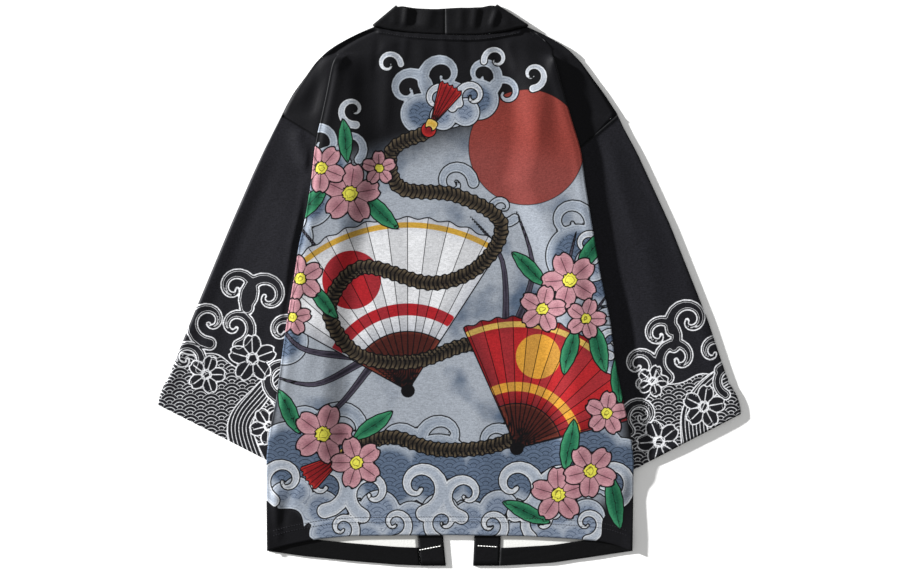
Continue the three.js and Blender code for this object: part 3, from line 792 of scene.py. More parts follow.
# %% Layers of the print
def back_fields(x, y):
    f = {"p_disc": circle(x, y, *DISC)}
    rim = np.hypot(np.abs(x) - 240 - np.where(x < 0, 0, 12), y + 344)
    bare = 74 + 5 * np.sin(np.arctan2(y + 344, 240 - np.abs(x)) * 9) - rim
    for key, discs, fingers in (("far", SEA_FAR, CURLS_FAR), ("near", SEA_NEAR, [])):
        sea = union([circle(x, y, *c) for c in discs] + [curl(x, y, *c) for c in fingers])
        f[f"p_sea_{key}"] = np.maximum(sea, bare)
    f["p_foam"] = np.maximum(union(curl(x, y, *c) for c in CURLS_NEAR), bare)
    for k, one in enumerate(FANS):
        paper, pleats, sticks, rho, _ = fan(x, y, *one)
        f[f"p_paper{k}"], f[f"p_pleats{k}"], f[f"p_sticks{k}"] = paper, pleats, sticks
        f[f"p_gold{k}"] = np.maximum(np.abs(rho - one[3] + 9) - 3.5, paper + 0.8)
        a, b = local(x, y, one[0], one[1], one[4])
        sun = circle(a, b, 0.70 * one[3], 0.16 * one[3], 0.17 * one[3])
        rays = np.maximum(np.abs(rho - 0.47 * one[3]) - 0.035 * one[3], paper + 1)
        f[f"p_spot{k}"] = np.minimum(np.maximum(sun, paper + 1), rays)
    d, way = along_line(x, y, CORD)
    f["p_cord"] = d - 8.5 + 1.0 * np.cos(2 * math.pi * way / 11)
    f["p_twist"] = np.where(d < 12, 11 / (2 * math.pi) * np.sin(2 * math.pi * (way / 11 + d / 26)), 20)
    tassels = [fan(x, y, *one, ribs=30) for one in TASSELS]
    f["p_tassel"] = union(np.minimum(paper, sticks - 1.5) for paper, _, sticks, _, _ in tassels)
    f["p_threads"] = nearest(np.where(paper < 2, pleats, 20) for paper, pleats, _, _, _ in tassels)
    f["p_knot"] = union(np.maximum(np.abs(rho - 9) - 5, beside - 1) for rho, beside in
                        ((r, np.abs(p) * r - 7) for _, _, _, r, p in tassels))
    f["p_blade"] = union(along_line(x, y, bend([a, b, c], 6), np.linspace(w, 0.6, 13))[0]
                         for a, b, c, w in BLADES)
    leaves = [leaf(x, y, *one) for one in LEAVES]
    f["p_leaf"] = union(o for o, _ in leaves)
    f["p_vein"] = nearest(v for _, v in leaves)
    for key, table in (("far", BLOSSOMS_FAR), ("near", BLOSSOMS_NEAR)):
        made = [blossom(x, y, *one) for one in table]
        f[f"p_petal_{key}"] = union(o for o, _, _ in made)
        f[f"p_rays_{key}"] = nearest(v for _, v, _ in made)
        f[f"p_heart_{key}"] = union(h for _, _, h in made)
    edge = ease((226 - np.abs(x)) / 30) * ease((214 - y - 0.25 * np.abs(x - 20)) / 60)
    corner = ease((np.hypot(np.abs(x) - 236, y + 336) - 66) / 30)
    f["p_mist"] = edge * corner
    f["p_cols"], f["p_rows"] = x, y
    return f


fields = back_fields(BACK_CUT[..., 0], BACK_CUT[..., 1])
fields["hem"] = (np.repeat(BACK_ROWS[:, None], BACK.shape[1], 1) < -309).astype(float)
fields["hem"][:, :2] = fields["hem"][:, -2:] = fields["hem"][BACK_ROWS > 290] = 1
print("print layers", len(fields))

# %% [markdown]
# ## Cloth finishes
# The cloth is a smooth polyester weave with a fine grain: a small bump, faint lights and darks,
# and a soft sheen. Its face is black or printed, its wrong side off-white. The print is built from
# the lowest layer up; each layer is a fill that pales towards its edge, as drawn shading does, and
# an ink line.


# %% Colours and weave
def rgb(text, light=1.0):
    v = [int(text[i:i + 2], 16) / 255 for i in (0, 2, 4)]
    return tuple(light * (c / 12.92 if c <= 0.04045 else ((c + 0.055) / 1.055) ** 2.4) for c in v)


INK, BLACK, WRONG = rgb("060608"), rgb("0c0c0f"), rgb("e8e8e4", 0.82)


def grain(kit):
    """Height of the weave, its fine mottling, and a slow change of tone, all by place on the robe."""
    place = kit.node("ShaderNodeTexCoord", {}, {}, "Object")
    stretched = kit.node("ShaderNodeMapping", {}, {"Vector": place, "Scale": (1.0, 3.0, 1.0)})
    slub = kit.noise(stretched, 260.0, 3.0)
    fine = kit.noise(place, 700.0, 2.0)
    return fine * 0.5 + slub * 0.5, fine * 0.45 + slub * 0.55, kit.noise(place, 16.0, 3.0)


def speckle(kit, colour, mottle, strength):
    """The weave's fine lights and darks."""
    tone = (mottle * 3.2 - 1.1).clamp() * (2 * strength) + (1 - strength)
    return kit.times(colour, tone)


# %% [markdown]
# ## Printed layers
# Overlapping round scales are the old wave pattern; only the foremost scale shows at each place,
# so its rings hide those behind it.


# %% Printed layers
def scales(kit, u, v, r):
    """Distance from the middle of the foremost of overlapping round scales of radius r."""
    first = kit.math("CEIL", v / (r / 2) - 2.0)
    rho = None
    for k in (2, 1, 0):
        row = first + float(k)
        shifted = u - kit.math("FRACT", row * 0.5) * (2 * r)
        across = (kit.math("FRACT", shifted / (2 * r)) - 0.5) * (2 * r)
        up = v - row * (r / 2)
        here = kit.math("SQRT", across * across + up * up)
        rho = here if rho is None else kit.choose(kit.math("LESS_THAN", here, r), rho, here)
    return rho


def rings(kit, rho, step, half):
    """Thin rings at every step of a distance."""
    return kit.inside(kit.math("PINGPONG", rho, step / 2) - half)


def layered(kit, colour, field, dark, light, deep, ink=0.8):
    """Adds one printed layer: dark inside, light at its edge, and an ink line round it."""
    tone = (-field / deep).clamp()
    colour = kit.mix(kit.inside(field), colour, kit.mix(tone, light, dark))
    return kit.mix(kit.line(field, ink), colour, INK) if ink else colour


def drawn(kit, colour, field, half, within, ink=INK):
    """Adds lines along the zero of a field, only inside a layer."""
    return kit.mix(kit.line(field, half) * kit.inside(within), colour, ink)


# %% [markdown]
# ## The printed back
# Inks lie dull in the cloth, so every colour is darkened alike. The disc and the far waves come
# first, then blades of grass, fans with the cord between them, near waves, tassels, leaves and
# blossoms.

# %% The printed back
PRINT = 0.57


def ink_rgb(text):
    return rgb(text, PRINT)


# edge, paper, spot and gold line of each fan
FAN_INKS = (("c9ccd4", "eff0f3", "b3222a", "d2a63f"), ("7f1519", "b8262b", "e0a23c", "d8b45a"))


def printed_back():
    kit = Kit("printed back cloth")
    height, mottle, slow = grain(kit)
    a, p = kit.attribute, ink_rgb
    shade = ((slow - 0.5) * 5.0).clamp()
    c = kit.mix(a("p_mist"), rgb("0c0c0f"), kit.mix(shade, p("a9b0ba"), p("5a6a80")))
    disc = a("p_disc")
    c = kit.mix(kit.inside(disc) * 0.96, c, p("8f3d35"))
    c = kit.mix(kit.line(disc, 0.6) * 0.8, c, INK)
    far = a("p_sea_far")
    ridges = rings(kit, scales(kit, a("p_cols"), a("p_rows") + 400.0, 15.0), 5.0, 0.45)
    c = layered(kit, c, far, p("5f6f86"), p("bcc4ce"), 13.0)
    c = kit.mix(ridges * kit.inside(far + 11.0), c, p("2d3848"))
    c = kit.mix(kit.line(far + 3.2, 0.3) * 0.7, c, p("5f6f86"))
    blade = a("p_blade")
    c = layered(kit, c, blade, p("26232e"), p("5b5566"), 3.2, 0.6)
    cord = a("p_cord")
    for k, inks in enumerate(FAN_INKS):
        paper, sticks = a(f"p_paper{k}"), a(f"p_sticks{k}")
        c = layered(kit, c, sticks, p("4a1f1a"), p("7d3a2c"), 6.0)
        c = layered(kit, c, paper, p(inks[1]), p(inks[0]), 22.0)
        c = kit.mix(kit.inside(a(f"p_spot{k}")), c, p(inks[2]))
        c = kit.mix(kit.inside(a(f"p_gold{k}")), c, p(inks[3]))
        fold = a(f"p_pleats{k}")
        c = kit.mix((fold * 0.7).clamp() * kit.inside(paper) * 0.22, c, p("3c4048"))
        c = drawn(kit, c, fold, 0.5, paper)
        c = drawn(kit, c, fold, 0.55, sticks)
        if k == 0:
            c = layered(kit, c, cord, p("352e26"), p("6a5d49"), 7.0)
            c = drawn(kit, c, a("p_twist"), 0.8, cord)
    near, foam = a("p_sea_near"), a("p_foam")
    c = layered(kit, c, near, p("8592a6"), p("c6cdd6"), 11.0)
    c = kit.mix(kit.line(near + 3.4, 0.3) * 0.8, c, p("66738a"))
    c = kit.mix(ridges * kit.inside(near + 9.0), c, p("4d5b72"))
    c = layered(kit, c, foam, p("a9b2bf"), p("e6e9ed"), 5.5)
    c = kit.mix(kit.line(foam + 2.8, 0.28) * 0.7, c, p("7c8798"))
    tassel = a("p_tassel")
    c = layered(kit, c, tassel, p("8d1c20"), p("c4332f"), 5.0)
    c = drawn(kit, c, a("p_threads"), 0.4, tassel)
    c = layered(kit, c, a("p_knot"), p("d2a63f"), p("e8cb77"), 4.0)
    leaf_field = a("p_leaf")
    c = layered(kit, c, leaf_field, p("1c6044"), p("3f9368"), 7.0)
    c = drawn(kit, c, a("p_vein"), 0.4, leaf_field + 0.8)
    for key in ("far", "near"):
        petal = a(f"p_petal_{key}")
        c = layered(kit, c, petal, p("9a6470"), p("cf9ba3"), 13.0, 0.9)
        c = drawn(kit, c, a(f"p_rays_{key}"), 0.45, petal, p("3d2128"))
        heart = a(f"p_heart_{key}")
        c = layered(kit, c, heart, p("efe95a"), p("e3d64c"), 3.0, 0.7)
        c = kit.mix(kit.line(heart + 4.2, 0.4), c, p("6b5a1e"))
    c = speckle(kit, c, mottle, 0.24)
    black = kit.mix(slow, BLACK, rgb("101013"))
    inner = kit.mix(kit.math("GREATER_THAN", a("hem"), 0.5), WRONG, black)
    c = kit.mix(kit.math("GREATER_THAN", a("outer"), 0.5), inner, c)
    return kit.finish(c, height)


# %% [markdown]
# ## Plain cloth and the sleeves' lines
# The black cloth is the same weave without the print, with a pale wrong side where it can be
# seen. Its black is painted lighter on the sleeves, for the sheen of their lit slopes, and darker,
# as shade, on the band and the turned hems. The sleeves have white pen lines that fade out above
# the cuff, and a painted shade darkens the cloth along each armhole seam.


# %% Plain cloth and the sleeves' lines
def plain_cloth(name, face, back, lines=None):
    """Face and wrong side in one material; the face of a front is on the far side of its grid."""
    kit = Kit(name)
    height, mottle, slow = grain(kit)
    worn = kit.mix(slow, face, tuple(v * 1.3 for v in face))
    if lines:
        worn = lines(kit, worn)
    worn = speckle(kit, worn, mottle, 0.45)
    if back is not None:
        off = kit.mix(slow * 0.5, back, tuple(v * 0.9 for v in back))
        worn = kit.mix(kit.math("GREATER_THAN", kit.attribute("outer"), 0.5), off, worn)
    return kit.finish(worn, height)


def sleeve_lines(kit, colour):
    """White pen lines: wave fingers, scales of water between them, and blossoms; then a painted shade along
    the armhole seam.
    """
    a = kit.attribute
    white, fade, ground = rgb("dcdde0", 0.8), a("s_fade"), colour
    curls, petal, scaled, stream = a("s_curl"), a("s_petal"), a("s_scaled"), a("s_stream")
    net = rings(kit, scales(kit, a("s_x") + 1000.0, a("s_y") + 1000.0, 13.0), 4.33, 0.36)
    colour = kit.mix(net * kit.inside(scaled), colour, white)
    colour = kit.mix(kit.line(scaled, 0.65), colour, white)
    flow = kit.inside(kit.math("PINGPONG", a("s_flow"), 2.3) - 0.4)
    colour = kit.mix(kit.inside(stream), colour, ground)
    colour = kit.mix(flow * kit.inside(stream), colour, white)
    colour = kit.mix(kit.line(stream, 0.7), colour, white)
    for field, half in ((curls, 0.7), (petal, 0.62)):
        colour = kit.mix(kit.inside(field), colour, ground)
        colour = kit.mix(kit.line(field, half), colour, white)
    colour = kit.mix(kit.line(curls + 2.6, 0.2), colour, white)
    colour = kit.mix(kit.line(a("s_rays"), 0.5) * kit.inside(petal), colour, white)
    colour = kit.mix(kit.line(a("s_heart"), 0.6), colour, white)
    colour = kit.mix(fade, ground, colour)
    # painted shade: a dark strip about 2.4 mm wide along the armhole seam, standing in for the shade in its
    # groove
    return kit.mix(kit.inside(a("s_seam_shade") - 2.4, 0.8), colour, INK)


BACK_CLOTH = printed_back()
FRONT_CLOTH = plain_cloth("front cloth", BLACK, WRONG)
# painted light: the sleeves' black is lighter than the black of the back and fronts, standing in for the
# sheen on their lit slopes
SLEEVE_CLOTH = plain_cloth("sleeve cloth", rgb("141418"), WRONG, sleeve_lines)
# painted shade: the band and the turned hems get a darker black than the same cloth on the back and fronts
BAND_CLOTH = plain_cloth("band cloth", rgb("08080a"), None)
HEM_CLOTH = plain_cloth("turned hem cloth", rgb("050506"), None)
WHITE_THREAD = plain_cloth("white thread", rgb("d8d8d4"), None)
DARK_THREAD = plain_cloth("dark thread", rgb("1c1c20"), None)
print("finishes", len(bpy.data.materials))

# %% [markdown]
# ## Back, fronts and turned-up hems
# The fronts are 15 to 20 mm longer than the back. Below the back hem their white wrong side shows,
# with the black face turned up over it as a hem.

# %% Back and fronts
back = wall("back_cloth", BACK, THICK, fields, material=BACK_CLOTH)


def front_grid(s):
    rows = BACK_ROWS[BACK_ROWS < 316][::2]
    rows = np.append(rows, HEM_Y) if rows[-1] > HEM_Y else rows
    grid = []
    for y in rows:
        path, _ = half_row(s, y, False, 40)
        yy = y + ease((HEM_BEGINS - y) / (HEM_BEGINS - HEM_Y)) * s.front_fall(path[:, 0])
        z = blend(path[:, 1], np.minimum(path[:, 1], 0.9), ease((y - 280) / 6))
        grid.append(np.stack([s.sign * path[:, 0], yy, z], 1))
    grid = np.array(grid)
    return grid if s.sign < 0 else grid[:, ::-1]


def hem_grid(s, x_count=60):
    ups = np.array([22.3, 21.9, 21.2, 18, 14, 10, 6, 2.5, 1.0, 0.3])
    lift = np.array([-0.25, 0.05, 0.2, 0.15, 0.05, 0.1, 0.15, 0.2, 0.05, -0.25])
    grid = []
    for up, h in zip(ups, lift):
        y0 = HEM_Y + float(s.front_fall(45)) + up
        x = np.linspace(float(s.fold(HEM_Y)) - 1.5, s.band_edge(s.band_outer, y0) + 0.3, x_count)
        y = HEM_Y + s.front_fall(x) + up
        z = np.full_like(x, 2.0 + h) + 0.12 * np.sin(x / 9.0 + up)
        grid.append(np.stack([s.sign * x, y, z], 1))
    grid = np.array(grid)
    return grid if s.sign < 0 else grid[:, ::-1]


FRONTS, HEMS, fronts, hems = {}, {}, {}, {}
for s in (LEFT, RIGHT):
    FRONTS[s.name], HEMS[s.name] = front_grid(s), hem_grid(s)
    fronts[s.name] = wall(f"front_cloth_{s.name}", FRONTS[s.name], THICK, material=FRONT_CLOTH)
    face, values = outer_of(fronts[s.name])
    face.foreach_set("value", 1 - values)
    hems[s.name] = wall(f"front_hem_{s.name}_cloth", HEMS[s.name], 0.7, material=HEM_CLOTH)

# %% [markdown]
# ## Sleeves
# Each sleeve is a flat tube, folded along its top, with air in it. It leaves the armhole seam,
# slips under the side fold of the back and lies on the table beyond it. Its printed pen lines get
# denser towards the cuff.

# %% Creases and lines of the sleeves
SLEEVE_FOLDS = {
    "left": [(-192, 198, -178, 140, 10, 2.0), (-189, 134, -236, -90, 27, 2.5),
             (-184, 96, -208, 0, 10, 0.7), (-250, 40, -300, -110, 14, -0.7),
             (-214, 20, -250, -170, 11, -0.6), (-290, -40, -330, -150, 13, 0.8)],
    "right": [(196, 190, 236, 40, 10, 0.9), (214, 196, 300, 0, 16, -0.7),
              (236, 90, 276, -110, 15, 1.0), (300, 10, 340, -140, 13, 0.7),
              (214, 20, 250, -200, 9, -0.8), (180, 168, 196, 80, 6, 0.8),
              (262, -40, 300, -200, 12, -0.5), (330, -60, 352, -150, 9, -0.5)],
}
# x, y, r, turned by
SLEEVE_BLOSSOMS = {
    "left": [(-246, -92, 30, 20), (-304, -112, 24, 0), (-226, -176, 24, 50)],
    "right": [(262, -196, 28, 40), (318, -152, 27, 10), (254, -120, 20, 0)],
}
# x, y, size, turned by, hand
SLEEVE_CURLS = {
    "left": [(-268, -4, 15, 100, 1), (-228, -14, 17, 60, -1), (-300, -46, 16, 120, -1),
             (-208, -58, 14, 80, 1), (-268, -52, 14, 70, 1), (-330, -92, 13, 110, 1),
             (-206, -116, 15, 100, -1)],
    "right": [(300, -44, 15, 60, -1), (262, -62, 14, 110, 1), (330, -84, 14, 80, 1),
              (286, -92, 16, 90, -1), (236, -100, 14, 70, 1), (352, -118, 12, 100, -1),
              (240, -164, 14, 80, -1)],
}
# middle, radii and turn of the field of scales; points and half width of the stream
SLEEVE_SCALES = {"left": (-300, -146, 92, 56, -22), "right": (296, -176, 92, 56, 22)}
SLEEVE_STREAM = {"left": ([(-196, -96), (-236, -136), (-262, -176), (-246, -232)], 15),
                 "right": ([(392, -100), (336, -118), (306, -160), (312, -220)], 15)}
print("creases of the sleeves", [len(rows) for rows in SLEEVE_FOLDS.values()])

# %% [markdown]
# ## The sleeve as a tube
# A row goes once round the sleeve: along its upper layer from the top fold to the underarm, round
# the turn, back along the lower layer on the table and round the top fold. Near the body the
# upper layer climbs onto the pile.


# %% Sleeve tubes
def sleeve_grid(s, rows=133):
    grid = []
    dx, dy = s.tip[0] - s.meet[0], s.tip[1] - s.meet[1]
    length = math.hypot(dx, dy)
    off = np.array([dy, -dx]) / length * -1.0
    hidden = np.array([s.armhole(s.junction + 4), s.junction + 4])
    under = np.array([s.under[0] + 3, s.under[1]])
    cuff_in, cuff_out = np.array(s.cuff_inner), np.array(s.cuff_outer)
    for v in np.append([0, 0.002, 0.004, 0.006, 0.008, 0.0105], np.linspace(0.0135, 1, rows)):
        yo = blend(s.tip[1], cuff_out[1], v)
        O = np.array([float(s.sleeve_outer(yo)), yo])
        if v > 0.9:
            O[0] = blend(O[0], cuff_out[0], (v - 0.9) / 0.1)
        w = v * 1.12
        I = blend(hidden, under, w / 0.45) if w < 0.45 else blend(under, cuff_in, (w - 0.45) / 0.67)
        fade = max(0.0, 1 - v * 5)
        O, I = O + off * fade, I + off * fade
        width = np.hypot(*(O - I))
        reach = float(O[0] - s.fold(O[1]) - 1)

        def at(f):
            return O + (I - O) * np.asarray(f)[:, None]

        probe = np.linspace(0, 1, 400)
        p = at(probe)
        gap = p[:, 0] - s.fold(p[:, 1])
        cross = [float(probe[np.argmax(gap <= d)]) for d in (DROP + 1, 1)]
        inset = (SLEEVE_TURN + THICK / 2) / width
        upper = np.concatenate([inset + (cross[0] - inset) * np.linspace(0, 1, 48)[:-1] ** 1.15,
                                np.linspace(cross[0], cross[1], 11)[:-1],
                                np.linspace(cross[1], 1 - inset, 8)])

        def height(f, top, bump=0.0):
            q = at(f)
            pile = level[2](q[:, 1]) if top else level[3](q[:, 1])
            ground = FLOOR + (2 * SLEEVE_TURN + bump if top else 0)
            d = q[:, 0] - s.fold(q[:, 1]) - 1
            fall = falls(d, DROP, reach, s.step_at(q[:, 1])) if top else 1 - ease(d / DROP)
            return ground + (pile - ground) * fall

        q = at(upper)
        from_edge, from_body = upper * width, np.maximum(q[:, 0] - s.fold(q[:, 1]) - DROP, 0)
        puff = s.puff * (1 - np.exp(-from_edge / 9)) * (1 - np.exp(-from_body / 30)) * ease(v / 0.15)
        roll = s.roll * (ease(from_edge / 3) * np.exp(-(from_edge / 12) ** 2)
                         - 0.35 * np.exp(-((from_edge - 20) / 9) ** 2)) * ease(from_body / 10)
        folds = soft_folds(SLEEVE_FOLDS[s.name], s.sign * q[:, 0], q[:, 1])
        near_body = np.maximum(q[:, 0] - s.fold(q[:, 1]) - s.folds_from, 0)
        folds = folds * ease(from_edge / 12) * ease(near_body / s.folds_grow) * ease(v / 0.03)
        folds = folds + roll * ease(v / 0.3) * ease((1 - v) / 0.05)
        tucked = 1.3 * math.exp(-(v * SLEEVE_WAY / s.dip_reach) ** 2)
        raised = s.ridge * math.exp(-((v * SLEEVE_WAY - 3.0) / 1.6) ** 2)
        zu = height(upper, True, puff) + folds - tucked + raised
        lower = upper[::-2]
        zl = height(lower, False) + tucked

        def turn(f, sign):
            f = np.array([f])
            top, low = float(height(f, True)[0]), float(height(f, False)[0])
            r, a = (top - low) / 2, np.linspace(0, math.pi, 7)[1:-1]
            along = f[0] + sign * r * np.sin(a) / width
            z = (top + low) / 2 + r * np.cos(a) * sign
            return np.column_stack([at(along), z])

        loop = np.concatenate([np.column_stack([q, zu]), turn(1 - inset, 1),
                               np.column_stack([at(lower), zl]), turn(inset, -1)])
        loop[:, 0] *= s.sign
        grid.append(loop)
    grid = np.array(grid)
    return grid if s.sign < 0 else grid[:, ::-1]


# %% [markdown]
# ## Seam and print of the sleeves
# At the armhole the cloth turns in, so no pale wrong side shows along the seam. The line print is
# laid by the place of each point on the table, not on the opened cloth as on the back.


# %% Seam and print of the sleeves
def tuck(obj, grid, rows):
    """Turns the first rows of a tube to the face colour on both sides, so a seam shows no lining."""
    face, values = outer_of(obj)
    place = np.empty(len(face) * 3, np.float32)
    obj.data.vertices.foreach_get("co", place)
    place = place.reshape(-1, 3) / MM
    edge = grid[:rows].reshape(-1, 3)
    near = np.min((place[:, None, 0] - edge[None, ::3, 0]) ** 2
                  + (place[:, None, 1] - edge[None, ::3, 1]) ** 2, axis=1)
    values[near < 9] = 1
    face.foreach_set("value", values)


def sleeve_fields(s, x, y):
    made = [blossom(x, y, *one) for one in SLEEVE_BLOSSOMS[s.name]]
    cx, cy, ra, rb, turned = SLEEVE_SCALES[s.name]
    a, b = local(x, y, cx, cy, turned)
    points, half = SLEEVE_STREAM[s.name]
    line = bend(points, 9)
    stream = along_line(x, y, line, np.linspace(half * 0.5, half * 1.3, len(line)))[0]
    first, last = np.array(line[:-1]), np.array(line[1:])
    best, across = np.full_like(x, 1e6), np.zeros_like(x)
    for p, q in zip(first, last):
        u = (q - p) / np.hypot(*(q - p))
        t = np.clip((x - p[0]) * u[0] + (y - p[1]) * u[1], 0, np.hypot(*(q - p)))
        dx, dy = x - p[0] - t * u[0], y - p[1] - t * u[1]
        d = np.hypot(dx, dy)
        across = np.where(d < best, dx * u[1] - dy * u[0], across)
        best = np.minimum(best, d)
    down = -((y - 213) * math.cos(0.47) - (np.abs(x) - 210) * math.sin(0.47))
    way = np.array([s.tip[0] - s.meet[0], s.tip[1] - s.meet[1]])
    ny, nx = way[1] / np.hypot(*way), -way[0] / np.hypot(*way)
    return {"s_curl": union(curl(x, y, *c) for c in SLEEVE_CURLS[s.name]),
            "s_petal": union(o for o, _, _ in made), "s_rays": nearest(v for _, v, _ in made),
            "s_heart": union(h for _, _, h in made),
            "s_scaled": (np.hypot(a / ra, b / rb) - 1) * min(ra, rb) + 3 * np.sin(a / 9),
            "s_stream": stream, "s_flow": across + 40, "s_x": x, "s_y": y,
            "s_fade": ease((down - 150) / 60),
            # distance from the armhole seam, for its painted shade
            "s_seam_shade": np.abs((np.abs(x) - s.tip[0]) * ny + (y - s.tip[1]) * nx)}


SLEEVES, sleeves = {}, {}
for s in (LEFT, RIGHT):
    g = SLEEVES[s.name] = sleeve_grid(s)
    sleeves[s.name] = wall(f"sleeve_tube_{s.name}", g, THICK, sleeve_fields(s, g[..., 0], g[..., 1]),
                           closed=True, material=SLEEVE_CLOTH)
    tuck(sleeves[s.name], g, 6)

# %% [markdown]
# ## Collar band
# A strip cut about 8 cm wide and doubled. Its two halves meet in a seam at the centre back. Each
# half lies flat behind the neck, turns under at the neck point and runs down the front edge.

# %% Bands
BAND_FOLDS = [(-56, 322, -52, 354, 4, 2.2), (-30, 318, -22, 350, 8, 1.5), (-67, 324, -74, 348, 5, 0.9),
              (30, 318, 34, 350, 5, 1.4), (51, 320, 64, 356, 3.5, 2.4), (14, 316, 15, 348, 5, 0.9),
              (-44, 322, -41, 350, 5, -1.2), (36, 318, 44, 350, 5, -0.8), (70, 320, 76, 346, 6, 0.8)]


def band_grid(s, across_count=13):
    sg, zb, zf = s.sign, float(middle_height(NECK_Y)) + 0.3, BAND_THICK / 2 + 0.1
    r = (zb - zf) / 2
    A = np.array([s.band_outer[0] + 2, NECK_Y + 2.8])
    B = np.array([s.band_inner[0], 350 if sg < 0 else 351.2])
    out = np.array([B[1] - A[1], A[0] - B[0]]) / np.hypot(*(A - B))
    fa, fb = A - out * (r + BAND_THICK / 2), B - out * (r + BAND_THICK / 2)
    across = np.linspace(0, 1, across_count)
    grid = []
    top_of = curve(BAND_TOP, 1, 5)

    def station(a, b, z, lay=0.0):
        x, y = blend(a[0], b[0], across) * sg, blend(a[1], b[1], across)
        z = np.full_like(x, z) + soft_folds(BAND_FOLDS, x, y) * lay
        z = z + (0.25 * np.exp(-((across - 0.93) / 0.05) ** 2) - 0.2 * (across == 1)) * (lay > 0)
        grid.append(np.stack([x, y, z], 1))

    start = -CENTRE_BACK + 0.15 if sg < 0 else CENTRE_BACK + 0.15
    for f in np.linspace(0, 1, 36):
        xa, xb = blend(start, fa[0], f), blend(start, fb[0], f)
        ya = NECK_Y + float(neck_dip(sg * xa)) + 0.3
        yb = float(top_of(sg * xb))
        close = ease((f - 0.8) / 0.2)
        seam = -0.5 * math.exp(-(f * 40) ** 2)
        station((xa, max(ya, blend(ya, fa[1], close))), (xb, blend(yb, fb[1], close)), zb + seam,
                1 - close)
    for a in np.linspace(0, math.pi, 10)[1:]:
        k = r * math.sin(a)
        station(fa + out * k, fb + out * k, (zb + zf) / 2 + r * math.cos(a))
    for y in np.concatenate([[318], np.linspace(310, BAND_BOTTOM, 90)]):
        station((s.band_edge(s.band_outer, y), y),
                (s.band_edge(s.band_inner, y), y + (10 if y > 310 else 0)), zf)
    grid = np.array(grid)
    return grid if s.sign < 0 else grid[::-1]


BANDS, bands = {}, {}
for s in (LEFT, RIGHT):
    BANDS[s.name] = band_grid(s)
    bands[s.name] = wall(f"band_{s.name}", BANDS[s.name], BAND_THICK, material=BAND_CLOTH)

# %% [markdown]
# ## Sewing
# The back hem is held by two parallel rows and the neck seam by one row below the collar. A white
# thread crosses the lower end of each band. Each stitch is a short thread that dips into the cloth
# at both ends.


# %% Stitches
def surface_height(grid, x, y):
    """Height of the upper surface of a grid at a place, from its nearest point on top."""
    flat = grid.reshape(-1, 3)
    near = (flat[:, 0] - x) ** 2 + (flat[:, 1] - y) ** 2
    close = flat[near < near.min() + 6.0]
    return close[:, 2].max()


def stitches(name, line, grid, thick, length, gap, radius, material):
    verts, faces = [], []
    step = np.hypot(*np.diff(line, axis=0).T)
    run = np.concatenate([[0], np.cumsum(step)])
    for start in np.arange(2, run[-1] - length, length + gap):
        ends = [np.array([np.interp(start + k, run, line[:, c]) for c in (0, 1)])
                for k in (0, length / 2, length)]
        z = surface_height(grid, *ends[1]) + thick / 2
        way = (ends[2] - ends[0]) / np.hypot(*(ends[2] - ends[0]))
        side = np.array([-way[1], way[0]])
        base = len(verts)
        for p, h, wide in zip(ends, (-0.15, radius * 0.9, -0.15), (0.6, 1.0, 0.6)):
            for a in np.linspace(0, 2 * math.pi, 6, endpoint=False):
                q = p + side * radius * wide * math.cos(a)
                verts.append((q[0] * MM, q[1] * MM, (z + h + radius * wide * math.sin(a)) * MM))
        for ring in (0, 6):
            for k in range(6):
                n = (k + 1) % 6
                faces.append((base + ring + k, base + ring + n, base + ring + 6 + n, base + ring + 6 + k))
        faces += [tuple(base + k for k in reversed(range(6))), tuple(base + 12 + k for k in range(6))]
    mesh = bpy.data.meshes.new(name)
    mesh.from_pydata(verts, [], faces)
    mesh.shade_smooth()
    mesh.materials.append(material)
    print(name, len(faces), "faces")
    return placed(name, mesh)


def back_line(up):
    x = np.linspace(-222, 222, 90)
    return np.stack([x, HEM_Y + hem_rise(x) + up], 1)


TOP = BACK[:, HIDDEN_POINTS:-HIDDEN_POINTS]
seams = {
    "back": [stitches(f"hem_stitch_{i}", back_line(up), TOP[-16:], THICK, 2.6, 0.7, 0.28, DARK_THREAD)
             for i, up in enumerate((17, 23))],
    "fronts": [],
}
neck_x = np.linspace(-88, 90, 60)
neck_line = np.stack([neck_x, NECK_Y + neck_dip(neck_x) - 5.2], 1)
seams["back"].append(stitches("neck_stitch", neck_line, TOP[:14], THICK, 2.6, 0.7, 0.26, DARK_THREAD))
for s in (LEFT, RIGHT):
    inner, outer = s.band_inner[1] + 4, s.band_outer[1] + s.thread_past
    x = np.linspace(inner, outer, 12)
    y = -326 - (x - inner) * s.thread_slope
    seams["fronts"].append(stitches(f"band_thread_{s.name}", np.stack([s.sign * x, y], 1),
                                    BANDS[s.name][-20:] if s.sign < 0 else BANDS[s.name][:20],
                                    BAND_THICK, 3.4, 0.1, 0.55, WHITE_THREAD))

# %% [markdown]
# ## Hand-over to the frame
# Every piece takes the place of its solid and rides with the one rigid body.

# %% Pieces
for s in (LEFT, RIGHT):
    for piece, node, slot in ((fronts, "front_", "wrong_side"), (hems, "front_hem_", "black_cloth"),
                              (sleeves, "sleeve_", "sleeve_cloth"), (bands, "collar_band_", "black_cloth")):
        obj = piece[s.name]
        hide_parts(node + s.name)
        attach(obj, "root")
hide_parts("back_panel")
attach(back, "root")
for obj in seams["back"] + seams["fronts"]:
    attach(obj, "root")


print("pieces", 1 + len(fronts) + len(hems) + len(sleeves) + len(bands)
      + sum(len(rows) for rows in seams.values()))

# %% [markdown]
# ## Table and cut sizes
# The robe lies on a plain pale table. The width, length and area of each piece's cut are printed.


# %% Table and cut sizes
def state(obj, grid, anchor=None):
    width, length, area = cut_of(grid, anchor)
    print("cut of", obj.name, round(width, 3), round(length, 3), round(area, 4))


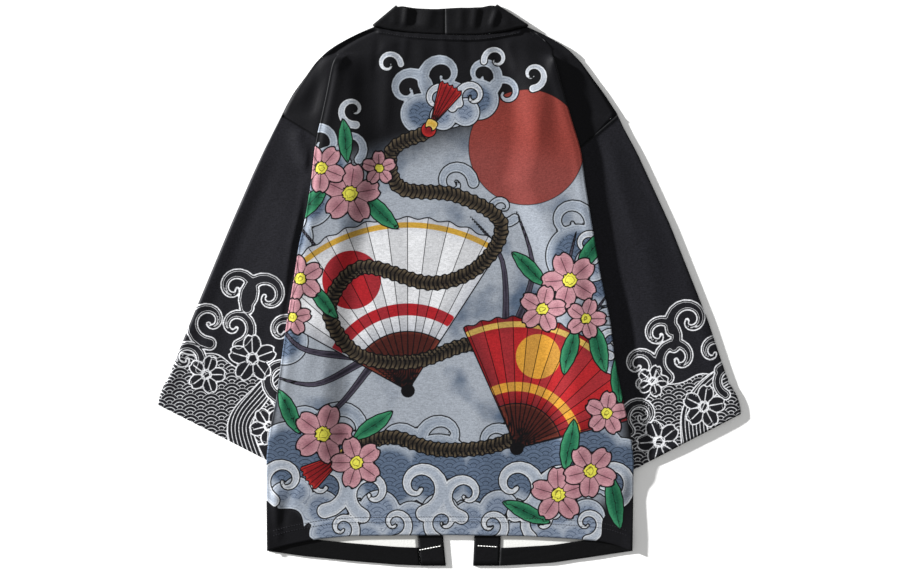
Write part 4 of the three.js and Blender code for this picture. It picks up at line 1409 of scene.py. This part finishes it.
floor_mesh = bpy.data.meshes.new("table")
corners = [(-4, -4), (4, -4), (4, 4), (-4, 4)]
floor_mesh.from_pydata([(x, y, -0.0002) for x, y in corners], [], [(0, 1, 2, 3)])
floor = placed("table", floor_mesh)
paper = bpy.data.materials.new("pale table")
paper.use_nodes = True
paper.node_tree.nodes["Principled BSDF"].inputs["Base Color"].default_value = (0.94, 0.94, 0.93, 1)
paper.node_tree.nodes["Principled BSDF"].inputs["Roughness"].default_value = 0.9
floor_mesh.materials.append(paper)

state(back, BACK,
      anchor=BACK.shape[1] // 2)
for s in (LEFT, RIGHT):
    state(fronts[s.name], FRONTS[s.name], anchor=-1 if s is LEFT else 0)
    state(hems[s.name], HEMS[s.name])
    tube = SLEEVES[s.name]
    state(sleeves[s.name], np.concatenate([tube, tube[:, :1]], axis=1))
    state(bands[s.name], BANDS[s.name].transpose(1, 0, 2))

# %% [markdown]
# ## Light and camera
# The photograph is taken from straight above. Its shadow falls to the lower right and is about
# four times as long as the robe is thick, so one lamp stands low at the upper left; an even pale
# surround lights the rest.

# %% Light, camera, view
sun = bpy.data.lights.new("low lamp", "SUN")
LAMP_POWER, LAMP_WIDTH, LAMP_HEIGHT, LAMP_HEADING, SURROUND = 13.9, 3, 13.5, 157, 0.48
sun.energy, sun.angle = LAMP_POWER, math.radians(LAMP_WIDTH)
lamp = placed("low lamp", sun)
elevation, heading = math.radians(LAMP_HEIGHT), math.radians(LAMP_HEADING)
towards = (math.cos(heading) * math.cos(elevation), math.sin(heading) * math.cos(elevation),
           math.sin(elevation))
lamp.rotation_mode = "QUATERNION"
lamp.rotation_quaternion = Vector(towards).to_track_quat("Z", "Y")

world = bpy.data.worlds.new("surround")
world.use_nodes = True
world.node_tree.nodes["Background"].inputs["Color"].default_value = (1, 1, 1, 1)
world.node_tree.nodes["Background"].inputs["Strength"].default_value = SURROUND
bpy.context.scene.world = world

camera_data = bpy.data.cameras.new("camera")
camera = placed("camera", camera_data)
camera.location = (0.6 * MM, -3.75 * MM, 3.0)
camera_data.sensor_width, camera_data.lens = 36.0, 36.0 * 2.996 / 1.125
bpy.context.scene.camera = camera
bpy.context.scene.view_settings.view_transform = "Standard"
